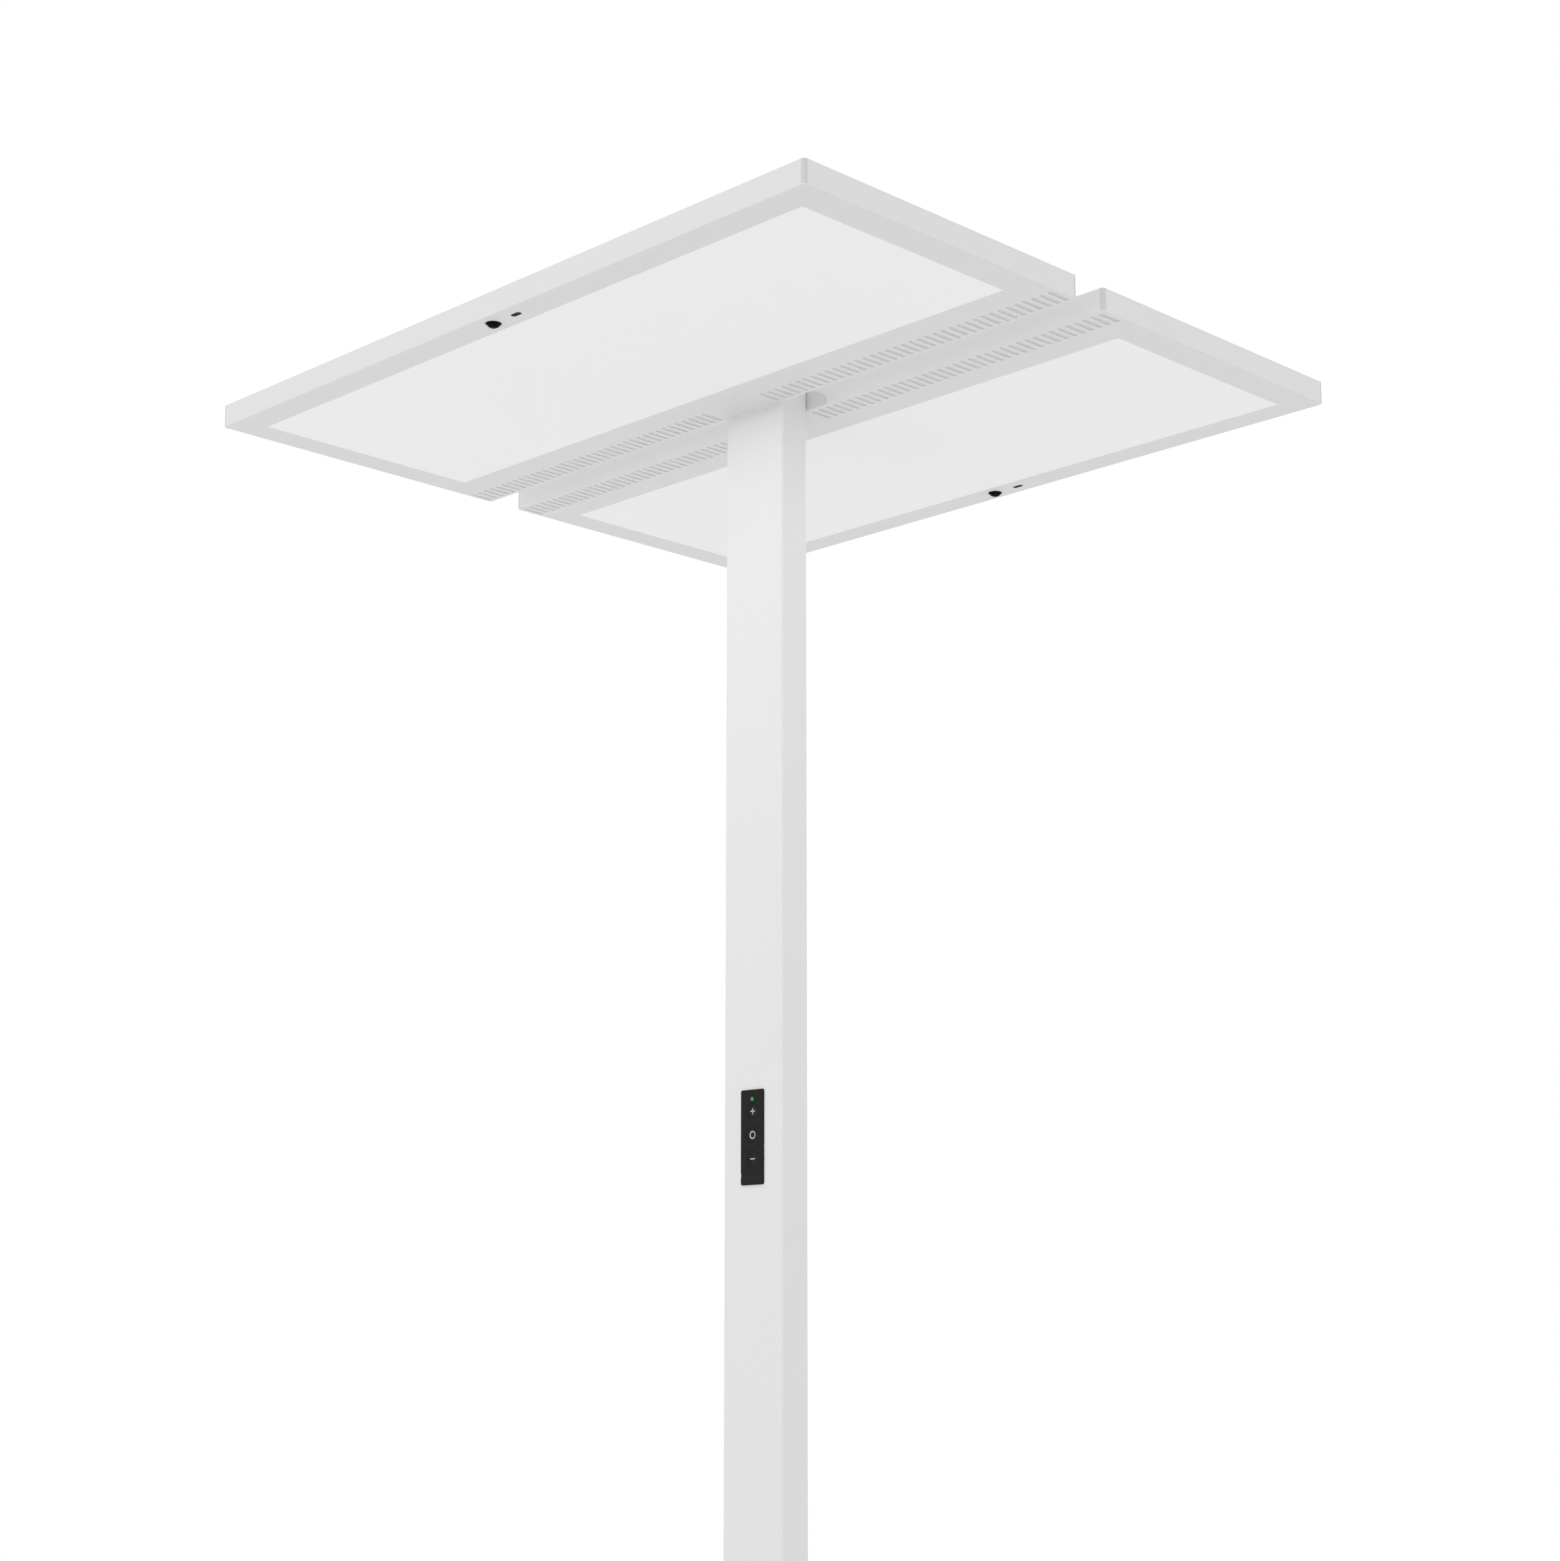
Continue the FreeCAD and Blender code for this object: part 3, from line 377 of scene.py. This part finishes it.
def circle(radius, steps=48):
    return [(radius * math.cos(2 * math.pi * k / steps), radius * math.sin(2 * math.pi * k / steps))
            for k in range(steps)]


def hexagon(apothem, steps=48):
    points = []
    for k in range(steps):
        angle = 2 * math.pi * k / steps
        bent = (angle + math.pi / 6) % (math.pi / 3) - math.pi / 6
        reach = apothem / math.cos(bent)
        points.append((reach * math.cos(angle), reach * math.sin(angle)))
    return points


def pill(half_length, radius, steps=48):
    """Round-ended outline, long along u."""
    points = []
    for x, y in circle(radius, steps):
        points.append((x + math.copysign(half_length - radius, x), y))
    return points


def loft(name, place, rings):
    """Closed skin through outlines of equal count; rings are (outline, height)."""
    mesh = bmesh.new()
    loops = []
    for outline, height in rings:
        loops.append([mesh.verts.new(place.point(a, b, height)) for a, b in outline])
    count = len(loops[0])
    for lower, upper in zip(loops, loops[1:]):
        for k in range(count):
            mesh.faces.new((lower[k], lower[(k + 1) % count], upper[(k + 1) % count], upper[k]))
    mesh.faces.new(list(reversed(loops[0])))
    mesh.faces.new(loops[-1])
    return finish_mesh(name, mesh)


def finish_mesh(name, mesh, smooth_angle=35.0):
    bmesh.ops.remove_doubles(mesh, verts=mesh.verts, dist=1e-7)
    bmesh.ops.recalc_face_normals(mesh, faces=mesh.faces)
    data = bpy.data.meshes.new(name)
    mesh.to_mesh(data)
    mesh.free()
    for face in data.polygons:
        face.use_smooth = True
    data.set_sharp_from_angle(angle=math.radians(smooth_angle))
    piece = bpy.data.objects.new(name, data)
    bpy.context.scene.collection.objects.link(piece)
    return piece


def joined(name, pieces):
    """One object from several meshes that are already in place."""
    mesh = bmesh.new()
    for piece in pieces:
        mesh.from_mesh(piece.data)
        bpy.data.objects.remove(piece)
    return finish_mesh(name, mesh)


def settle(piece, material, slot, body, *nodes):
    """Material, body and the CAD nodes that the piece stands for."""
    piece.data.materials.clear()
    piece.data.materials.append(material)
    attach(piece, body)
    if nodes:
        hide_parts(*nodes)
    return piece


def islands(name):
    """Boxes of the separate solids in a CAD node, as (lowest, highest) corners."""
    mesh = bmesh.new()
    mesh.from_mesh(NODES[name].data)
    bmesh.ops.remove_doubles(mesh, verts=mesh.verts, dist=1e-6)
    seen = set()
    found = []
    for start in mesh.verts:
        if start in seen:
            continue
        stack = [start]
        seen.add(start)
        points = []
        while stack:
            vert = stack.pop()
            points.append(vert.co.copy())
            for edge in vert.link_edges:
                other = edge.other_vert(vert)
                if other not in seen:
                    seen.add(other)
                    stack.append(other)
        low = Vector([min(p[axis] for p in points) for axis in range(3)])
        high = Vector([max(p[axis] for p in points) for axis in range(3)])
        found.append((low, high))
    mesh.free()
    return found


# ---------------------------------------------------------------- fasteners
CHAMFER = 0.12 * MM             # depth of the cone round a socket
SET_RIM = 0.10 * MM
SET_SOCKET = (1.25 * MM, 2.2 * MM)      # half width across flats, depth
LID_SHANK = 1.5 * MM
LID_CONE = 1.5 * MM
LID_SOCKET = (1.0 * MM, 0.9 * MM)
BASE_SHANK = 4.0 * MM
BASE_CONE = 4.0 * MM
BASE_SOCKET = (2.5 * MM, 2.6 * MM)


def socket(apothem, sink):
    """Rings of a hexagon socket in a flat face, from its chamfer to its pointed bottom."""
    return [
        (circle(apothem * 1.28), 0.0),
        (hexagon(apothem), -CHAMFER),
        (hexagon(apothem), -sink),
        (circle(apothem * 0.2), -sink - 0.35 * apothem),
    ]


def set_screw(place, radius, length):
    """Headless screw with a rounded rim and a hexagon socket; place is on its face."""
    rings = [
        (circle(radius), -length),
        (circle(radius), -SET_RIM),
        (circle(radius - 0.3 * SET_RIM), -0.3 * SET_RIM),
        (circle(radius - SET_RIM), 0.0),
    ]
    return loft("screw", place, rings + socket(*SET_SOCKET))


def sunk_screw(place, head, shank, cone, length, hole):
    """Countersunk screw with a hexagon socket; place is on its face."""
    rim = 0.035 * head
    rings = [
        (circle(shank - 2 * rim), -length),
        (circle(shank), 2 * rim - length),
        (circle(shank), -cone),
        (circle(head - rim), -rim),
        (circle(head - 1.4 * rim), 0.0),
    ]
    return loft("screw", place, rings + socket(*hole))


def lid_screws(materials):
    for side in SIDES:
        node = side + "_lid_screws"
        screws = []
        for low, high in islands(node):
            place = facing_up(((low.x + high.x) / 2, (low.y + high.y) / 2, high.z))
            screws.append(sunk_screw(place, (high.x - low.x) / 2, LID_SHANK, LID_CONE,
                                     high.z - low.z, LID_SOCKET))
        piece = joined(node + "_detail", screws)
        settle(piece, materials["zinc_steel"], "zinc_steel", LAMP, node)


def set_screws(materials):
    for node in ("head_set_screws", "foot_set_screws"):
        screws = []
        for low, high in islands(node):
            place = facing_rear(((low.x + high.x) / 2, high.y, (low.z + high.z) / 2))
            screws.append(set_screw(place, (high.x - low.x) / 2, high.y - low.y))
        piece = joined(node + "_detail", screws)
        settle(piece, materials["zinc_steel"], "zinc_steel", LAMP, node)


def base_screws(materials):
    screws = []
    for low, high in islands("base_screws"):
        place = facing_down(((low.x + high.x) / 2, (low.y + high.y) / 2, low.z))
        screws.append(sunk_screw(place, (high.x - low.x) / 2, BASE_SHANK, BASE_CONE,
                                 high.z - low.z, BASE_SOCKET))
    piece = joined("base_screws_detail", screws)
    settle(piece, materials["zinc_steel"], "zinc_steel", LAMP, "base_screws")


# ---------------------------------------------------------------- sensors
DOME_RADIUS = 6.0 * MM
DOME_NECK = 1.4 * MM            # of the dome inside the bar
DOME_EDGE = 0.10 * MM           # rounding between two facets
DOME_SIDES = 12
DOME_RINGS = ((1.9 * MM, 6, 0.0), (3.9 * MM, DOME_SIDES, 0.5), (DOME_RADIUS, DOME_SIDES, 0.5))
WINDOW = (4.8 * MM, 1.8 * MM)           # half length and half width in its opening
WINDOW_RIM = (4.9 * MM, 2.25 * MM)      # and on the face of the bar
WINDOW_DEPTH = 1.5 * MM
WINDOW_PROUD = 0.12 * MM


def ring_points(mesh, place, reach, count, turn, height):
    for k in range(count):
        angle = 2 * math.pi * (k + turn) / count
        mesh.verts.new(place.point(reach * math.cos(angle), reach * math.sin(angle), height))


def motion_domes(materials):
    """Faceted lens: a hexagon on top, then two rings of flat facets on a shallow sphere."""
    for side in SIDES:
        node = side + "_motion_lens"
        low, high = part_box(node)
        tray_low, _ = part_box(side + "_tray")
        drop = tray_low.z - low.z
        sphere = (DOME_RADIUS ** 2 + drop ** 2) / (2 * drop)
        place = facing_down(((low.x + high.x) / 2, (low.y + high.y) / 2, tray_low.z))
        mesh = bmesh.new()
        for reach, count, turn in DOME_RINGS:
            height = math.sqrt(sphere ** 2 - reach ** 2) - (sphere - drop)
            ring_points(mesh, place, reach, count, turn, height)
        ring_points(mesh, place, DOME_RADIUS, DOME_SIDES, 0.5, -DOME_NECK)
        bmesh.ops.convex_hull(mesh, input=mesh.verts)
        bmesh.ops.dissolve_limit(mesh, angle_limit=math.radians(2.0), verts=mesh.verts,
                                 edges=mesh.edges)
        dome = finish_mesh(side + "_motion_dome", mesh, 5.0)
        soften(dome, DOME_EDGE, 2)
        settle(dome, materials["black_lens"], "black_lens", LAMP, node)


def soften(piece, width, segments):
    """Rounds every edge of the mesh by the given width."""
    mesh = bmesh.new()
    mesh.from_mesh(piece.data)
    bmesh.ops.bevel(mesh, geom=mesh.edges, offset=width, segments=segments, profile=0.5,
                    affect="EDGES", clamp_overlap=True)
    mesh.to_mesh(piece.data)
    mesh.free()
    piece.data.set_sharp_from_angle(angle=math.radians(30))


def light_sensors(materials):
    """Dark pill-shaped window in its opening, with a thin rim on the face of the bar."""
    rim_length, rim_width = WINDOW_RIM
    # steps of the rim: inward in millimetres, and height as a share of WINDOW_PROUD
    steps = ((0.0, 0.5), (0.06, 1.0), (0.40, 1.0), (0.46, 0.5), (1.1, 0.6))
    for side in SIDES:
        node = side + "_light_sensor_lens"
        low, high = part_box(node)
        place = facing_down(((low.x + high.x) / 2, (low.y + high.y) / 2, low.z))
        rings = [(pill(*WINDOW), -WINDOW_DEPTH), (pill(*WINDOW), 0.0), (pill(*WINDOW_RIM), 0.0)]
        for inward, height in steps:
            outline = pill(rim_length - inward * MM, rim_width - inward * MM)
            rings.append((outline, height * WINDOW_PROUD))
        piece = loft(side + "_light_sensor_window", place, rings)
        settle(piece, materials["black_lens"], "black_lens", LAMP, node)


# ---------------------------------------------------------------- vents
VENT_COUNT = 38
VENT_FIRST = 33.0 * MM
VENT_LAST = 324.4 * MM
VENT_HALF_LENGTH = 10.47 * MM
VENT_HALF_WIDTH = 1.77 * MM
VENT_RECESS = 0.30 * MM         # of the pads behind the face of the bar
VENT_EASE = 0.1 * MM


def vent_filters(materials):
    """Filter sheet with a raised, crowned pad in every slot of the inner bar."""
    for side in SIDES:
        node = side + "_vent_mesh"
        low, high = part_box(node)
        tray_low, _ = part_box(side + "_tray")
        middle = (low.y + high.y) / 2
        mesh = bmesh.new()
        bmesh.ops.create_grid(mesh, x_segments=1, y_segments=1, size=0.5)
        for vert in mesh.verts:
            vert.co.x = high.x if vert.co.x > 0 else low.x
            vert.co.y = high.y if vert.co.y > 0 else low.y
            vert.co.z = high.z
        top = list(mesh.faces)
        grown = bmesh.ops.extrude_face_region(mesh, geom=top)
        for vert in (item for item in grown["geom"] if isinstance(item, bmesh.types.BMVert)):
            vert.co.z = low.z
        sheet = finish_mesh(side + "_sheet", mesh)
        pieces = [sheet]
        for k in range(VENT_COUNT):
            x = VENT_FIRST + (VENT_LAST - VENT_FIRST) * k / (VENT_COUNT - 1)
            for turn in (-1, 1):
                pieces.append(vent_pad((turn * x, middle, tray_low.z), low.z - tray_low.z))
        piece = joined(side + "_vent_filter", pieces)
        settle(piece, materials["vent_mesh"], "white_film", LAMP, node)


def vent_pad(centre, depth):
    place = Place(centre, (0, 1, 0), (1, 0, 0), (0, 0, -1))
    rings = []
    for inward, sunk in ((0.0, depth), (0.0, VENT_RECESS + VENT_EASE),
                         (0.3 * VENT_EASE, VENT_RECESS + 0.3 * VENT_EASE),
                         (VENT_EASE, VENT_RECESS)):
        rings.append((pill(VENT_HALF_LENGTH - inward, VENT_HALF_WIDTH - inward, 24), -sunk))
    return loft("pad", place, rings)


# ---------------------------------------------------------------- control strip
KEYS = ("brighter", "power", "dimmer")
PLATE = 1.0 * MM
KEY_RADIUS = 5.7 * MM
KEY_FLANGE = 6.6 * MM
DISH_RADIUS = 5.2 * MM
DISH_DEPTH = 0.8 * MM
KEY_STEM = 1.7 * MM
KEY_RIM = 0.22 * MM
KEY_FLANGE_DEPTH = 1.0 * MM
KEY_STEPS = 72
DISH_RINGS = 12
SYMBOL_PROUD = 0.03 * MM
SYMBOL_DEPTH = 0.4 * MM
SYMBOL_HALF = 2.45 * MM         # half length of the plus and minus bars
SYMBOL_STROKE = 0.43 * MM       # and their half width
RING_OUTER = 3.05 * MM
RING_STROKE = 0.88 * MM
INDICATOR_RADIUS = 1.42 * MM
INDICATOR_DEPTH = 3.0 * MM


def dish_level(reach):
    """Height of the dished key face at a distance from its axis, measured from the rim."""
    sphere = (DISH_RADIUS ** 2 + DISH_DEPTH ** 2) / (2 * DISH_DEPTH)
    inside = min(reach, DISH_RADIUS)
    return (sphere - DISH_DEPTH) - math.sqrt(sphere ** 2 - inside ** 2)


def key_cap(name, place, depth):
    """Round key with a stem and a flange behind the plate, and a dished face."""
    under = PLATE + KEY_FLANGE_DEPTH
    rings = []
    for reach, height in ((KEY_STEM, -depth), (KEY_STEM, -under), (KEY_FLANGE, -under),
                          (KEY_FLANGE, -PLATE), (KEY_RADIUS, -PLATE), (KEY_RADIUS, -KEY_RIM),
                          (KEY_RADIUS - 0.3 * KEY_RIM, -0.3 * KEY_RIM),
                          (KEY_RADIUS - KEY_RIM, 0.0)):
        rings.append((circle(reach, KEY_STEPS), height))
    for k in range(DISH_RINGS):
        reach = DISH_RADIUS * (1 - k / DISH_RINGS)
        rings.append((circle(reach, KEY_STEPS), dish_level(reach)))
    rings.append((circle(0.1 * MM, KEY_STEPS), dish_level(0.0)))
    return loft(name, place, rings)


def inlay(name, place, outline_rows):
    """Thin inlay that follows the dish; rows are lists of points across the symbol."""
    mesh = bmesh.new()
    layers = []
    for lift in (SYMBOL_PROUD, -SYMBOL_DEPTH):
        rows = []
        for row in outline_rows:
            rows.append([mesh.verts.new(place.point(a, b, dish_level(math.hypot(a, b)) + lift))
                         for a, b in row])
        layers.append(rows)
    closed = outline_rows[0][0] == outline_rows[0][-1]
    top, bottom = layers
    wide = len(top[0])
    for rows in layers:
        for near, away in zip(rows, rows[1:]):
            for k in range(wide - 1):
                mesh.faces.new((near[k], near[k + 1], away[k + 1], away[k]))
    for row in (0, -1):
        for k in range(wide - 1):
            mesh.faces.new((top[row][k], top[row][k + 1], bottom[row][k + 1], bottom[row][k]))
    if not closed:
        for k in (0, -1):
            for row in range(len(top) - 1):
                mesh.faces.new((top[row][k], top[row + 1][k], bottom[row + 1][k], bottom[row][k]))
    return finish_mesh(name, mesh)


def bar_rows(half_length, half_width, upright, centre=0.0):
    """Rows of points for a straight bar with softly rounded ends."""
    rows = []
    steps = 16
    for k in range(steps + 1):
        along = -1 + 2 * k / steps
        a = along * half_length
        over = max(0.0, abs(a) - (half_length - half_width))
        reach = math.sqrt(max(half_width ** 2 - over ** 2, (0.25 * half_width) ** 2))
        row = []
        for j in range(5):
            b = reach * (-1 + j / 2)
            row.append((b, a + centre) if upright else (a + centre, b))
        rows.append(row)
    return rows


def ring_rows(outer, stroke):
    """Rows of points round a ring, each ending on its first point."""
    rows = []
    for j in range(5):
        row = circle(outer - stroke * j / 4, 64)
        rows.append(row + row[:1])
    return rows


def symbol_pieces(key, place):
    """A ring for power, a minus for dimmer, and the minus with two stubs for brighter."""
    if key == "power":
        return [inlay("ring", place, ring_rows(RING_OUTER, RING_STROKE))]
    pieces = [inlay("bar", place, bar_rows(SYMBOL_HALF, SYMBOL_STROKE, False))]
    if key == "brighter":
        stub = (SYMBOL_HALF - SYMBOL_STROKE) / 2
        for side in (-1, 1):
            middle = side * (SYMBOL_STROKE + stub)
            pieces.append(inlay("stub", place, bar_rows(stub, SYMBOL_STROKE, True, middle)))
    return pieces


def keys(materials):
    for key in KEYS:
        node = key + "_button"
        low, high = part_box(node)
        place = facing_front(((low.x + high.x) / 2, low.y, (low.z + high.z) / 2))
        cap = key_cap(key + "_key_cap", place, high.y - low.y)
        settle(cap, materials["black_plastic"], "black_plastic", key + "_key", node)
        symbol = joined(key + "_key_symbol", symbol_pieces(key, place))
        settle(symbol, materials["grey_symbol"], "grey_symbol", key + "_key", key + "_symbol")


def indicator(materials):
    low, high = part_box("indicator_light")
    plate_low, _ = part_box("control_plate")
    place = facing_front(((low.x + high.x) / 2, plate_low.y, (low.z + high.z) / 2))
    proud = plate_low.y - low.y
    rings = [(circle(INDICATOR_RADIUS), -INDICATOR_DEPTH), (circle(INDICATOR_RADIUS), 0.0)]
    for k in range(1, 8):
        angle = math.pi / 2 * k / 8
        rings.append((circle(INDICATOR_RADIUS * math.cos(angle)), proud * math.sin(angle)))
    rings.append((circle(0.05 * MM), proud))
    piece = loft("indicator_lens", place, rings)
    settle(piece, materials["green_pipe"], "green_pipe", LAMP, "indicator_light")


# ---------------------------------------------------------------- pole and base details
BUSHING_STEPS = 72
BUSHING_OUTER = 8.0 * MM
BUSHING_BODY = 5.5 * MM
BUSHING_BORE = 3.6 * MM
BUSHING_FLANGE = 2.0 * MM
BUSHING_NOTCH = 0.25 * MM       # at every sixth point of the flange
PAD_STEPS = 64
PAD_EDGE = 0.5 * MM
PAD_GROOVES = (11.0 * MM, 6.0 * MM)
GROOVE_DEPTH = 0.5 * MM


def notched_circle(radius, steps, notch):
    points = []
    for k in range(steps):
        reach = radius - notch if k % 6 == 0 else radius
        angle = 2 * math.pi * k / steps
        points.append((reach * math.cos(angle), reach * math.sin(angle)))
    return points


def bushing(materials):
    """Cord bushing with a rounded flange, a chamfered bore and grip notches."""
    low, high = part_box("cord_bushing")
    place = facing_rear(((low.x + high.x) / 2, high.y, (low.z + high.z) / 2))
    depth = high.y - low.y
    notched = notched_circle(BUSHING_OUTER, BUSHING_STEPS, BUSHING_NOTCH)
    rings = [
        (circle(BUSHING_BORE, BUSHING_STEPS), -depth),
        (circle(BUSHING_BODY, BUSHING_STEPS), -depth),
        (circle(BUSHING_BODY, BUSHING_STEPS), -BUSHING_FLANGE),
        (notched, -BUSHING_FLANGE),
        (notched, -0.5 * MM),
        (circle(BUSHING_OUTER - 0.4 * MM, BUSHING_STEPS), -0.1 * MM),
        (circle(BUSHING_OUTER - 1.0 * MM, BUSHING_STEPS), 0.0),
        (circle(BUSHING_BORE + 0.5 * MM, BUSHING_STEPS), 0.0),
        (circle(BUSHING_BORE, BUSHING_STEPS), -0.5 * MM),
    ]
    mesh = bmesh.new()
    loops = []
    for outline, height in rings:
        loops.append([mesh.verts.new(place.point(a, b, height)) for a, b in outline])
    loops.append(loops[0])
    for near, away in zip(loops, loops[1:]):
        for k in range(BUSHING_STEPS):
            after = (k + 1) % BUSHING_STEPS
            mesh.faces.new((near[k], near[after], away[after], away[k]))
    piece = finish_mesh("cord_bushing_detail", mesh)
    settle(piece, materials["grey_plastic"], "grey_plastic", LAMP, "cord_bushing")


def pads(materials):
    """Rubber pads with rounded rims and two ring grooves in the underside."""
    made = []
    for low, high in islands("rubber_pads"):
        place = facing_down(((low.x + high.x) / 2, (low.y + high.y) / 2, low.z))
        radius = (high.x - low.x) / 2
        profile = [
            (radius, high.z - low.z),
            (radius, PAD_EDGE),
            (radius - 0.3 * PAD_EDGE, 0.3 * PAD_EDGE),
            (radius - PAD_EDGE, 0.0),
        ]
        for groove in PAD_GROOVES:
            profile.append((groove + 0.6 * MM, 0.0))
            profile.append((groove + 0.3 * MM, GROOVE_DEPTH))
            profile.append((groove - 0.3 * MM, GROOVE_DEPTH))
            profile.append((groove - 0.6 * MM, 0.0))
        made.append(loft("pad", place, [(circle(reach, PAD_STEPS), -up) for reach, up in profile]))
    piece = joined("rubber_pads_detail", made)
    settle(piece, materials["black_rubber"], "black_rubber", LAMP, "rubber_pads")


# ---------------------------------------------------------------- stage
def floor():
    mesh = bmesh.new()
    bmesh.ops.create_grid(mesh, x_segments=2, y_segments=2, size=FLOOR_HALF)
    data = bpy.data.meshes.new("floor")
    mesh.to_mesh(data)
    mesh.free()
    piece = bpy.data.objects.new("floor", data)
    bpy.context.scene.collection.objects.link(piece)
    material, tree, bsdf = new_material("floor_pale")
    bsdf.inputs["Base Color"].default_value = FLOOR_COLOUR
    bsdf.inputs["Roughness"].default_value = 0.9
    bsdf.inputs["Specular IOR Level"].default_value = 0.0
    place = tree.nodes.new("ShaderNodeTexCoord")
    distance = tree.nodes.new("ShaderNodeVectorMath")
    distance.operation = "LENGTH"
    tree.links.new(place.outputs["Object"], distance.inputs[0])
    fade = tree.nodes.new("ShaderNodeMapRange")
    fade.interpolation_type = "SMOOTHSTEP"
    fade.inputs["From Min"].default_value = FLOOR_FADE[0]
    fade.inputs["From Max"].default_value = FLOOR_FADE[1]
    tree.links.new(distance.outputs["Value"], fade.inputs["Value"])
    white = tree.nodes.new("ShaderNodeEmission")
    mix = tree.nodes.new("ShaderNodeMixShader")
    seen = seen_directly(tree)
    both = tree.nodes.new("ShaderNodeMath")
    both.operation = "MULTIPLY"
    tree.links.new(fade.outputs["Result"], both.inputs[0])
    tree.links.new(seen, both.inputs[1])
    tree.links.new(both.outputs["Value"], mix.inputs["Fac"])
    tree.links.new(bsdf.outputs["BSDF"], mix.inputs[1])
    tree.links.new(white.outputs["Emission"], mix.inputs[2])
    tree.links.new(mix.outputs["Shader"], tree.nodes["Material Output"].inputs["Surface"])
    data.materials.append(material)


def seen_directly(tree):
    """One for camera, glossy and transmission rays, and zero for the light that falls on things."""
    path = tree.nodes.new("ShaderNodeLightPath")
    total = path.outputs["Is Camera Ray"]
    for ray in ("Is Glossy Ray", "Is Transmission Ray"):
        either = tree.nodes.new("ShaderNodeMath")
        either.operation = "MAXIMUM"
        tree.links.new(total, either.inputs[0])
        tree.links.new(path.outputs[ray], either.inputs[1])
        total = either.outputs["Value"]
    return total


def world():
    made = bpy.data.worlds.new("studio")
    made.use_nodes = True
    tree = made.node_tree
    back = tree.nodes["Background"]
    back.inputs["Color"].default_value = (1, 1, 1, 1)
    strength = tree.nodes.new("ShaderNodeMapRange")
    strength.inputs["To Min"].default_value = AMBIENT
    strength.inputs["To Max"].default_value = BACKGROUND
    tree.links.new(seen_directly(tree), strength.inputs["Value"])
    tree.links.new(strength.outputs["Result"], back.inputs["Strength"])
    bpy.context.scene.world = made


def soft_light(name, place, target, size, watts):
    light = bpy.data.lights.new(name, "AREA")
    light.shape = "RECTANGLE"
    light.size, light.size_y = size
    light.energy = watts
    lamp = bpy.data.objects.new(name, light)
    lamp.location = place
    lamp.rotation_euler = (Vector(target) - Vector(place)).to_track_quat("-Z", "Y").to_euler()
    lamp.visible_camera = False
    bpy.context.scene.collection.objects.link(lamp)


def lights():
    soft_light("key", KEY_PLACE, KEY_TARGET, KEY_SIZE, KEY_WATTS)
    for side in SIDES:
        low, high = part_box(side + "_tray")
        x, y, z = (low.x + high.x) / 2, (low.y + high.y) / 2, low.z - LIGHT_DROP
        soft_light("glow_" + side, (x, y, z), (x, y, 0), GLOW_SIZE, GLOW_WATTS)
        y += math.copysign(SPILL_OFFSET, y)
        soft_light("spill_" + side, (x, y, z), (x, y, 0), SPILL_SIZE, SPILL_WATTS)


def camera():
    data = bpy.data.cameras.new("camera")
    data.sensor_width = SENSOR
    data.lens = FOCAL_PIXELS / PHOTO_LONG_SIDE * SENSOR
    data.shift_y = CAMERA_SHIFT
    data.clip_start = 0.05
    data.clip_end = 60
    eye = bpy.data.objects.new("camera", data)
    eye.location = CAMERA_PLACE
    eye.rotation_euler = (math.radians(90 + CAMERA_LIFT), 0, math.radians(CAMERA_TURN))
    bpy.context.scene.collection.objects.link(eye)
    bpy.context.scene.camera = eye


def main():
    bpy.context.scene.view_settings.view_transform = "Standard"
    materials = make_materials()
    dress_nodes(materials)
    lid_screws(materials)
    set_screws(materials)
    base_screws(materials)
    motion_domes(materials)
    light_sensors(materials)
    vent_filters(materials)
    keys(materials)
    indicator(materials)
    bushing(materials)
    pads(materials)
    floor()
    world()
    lights()
    camera()


main()
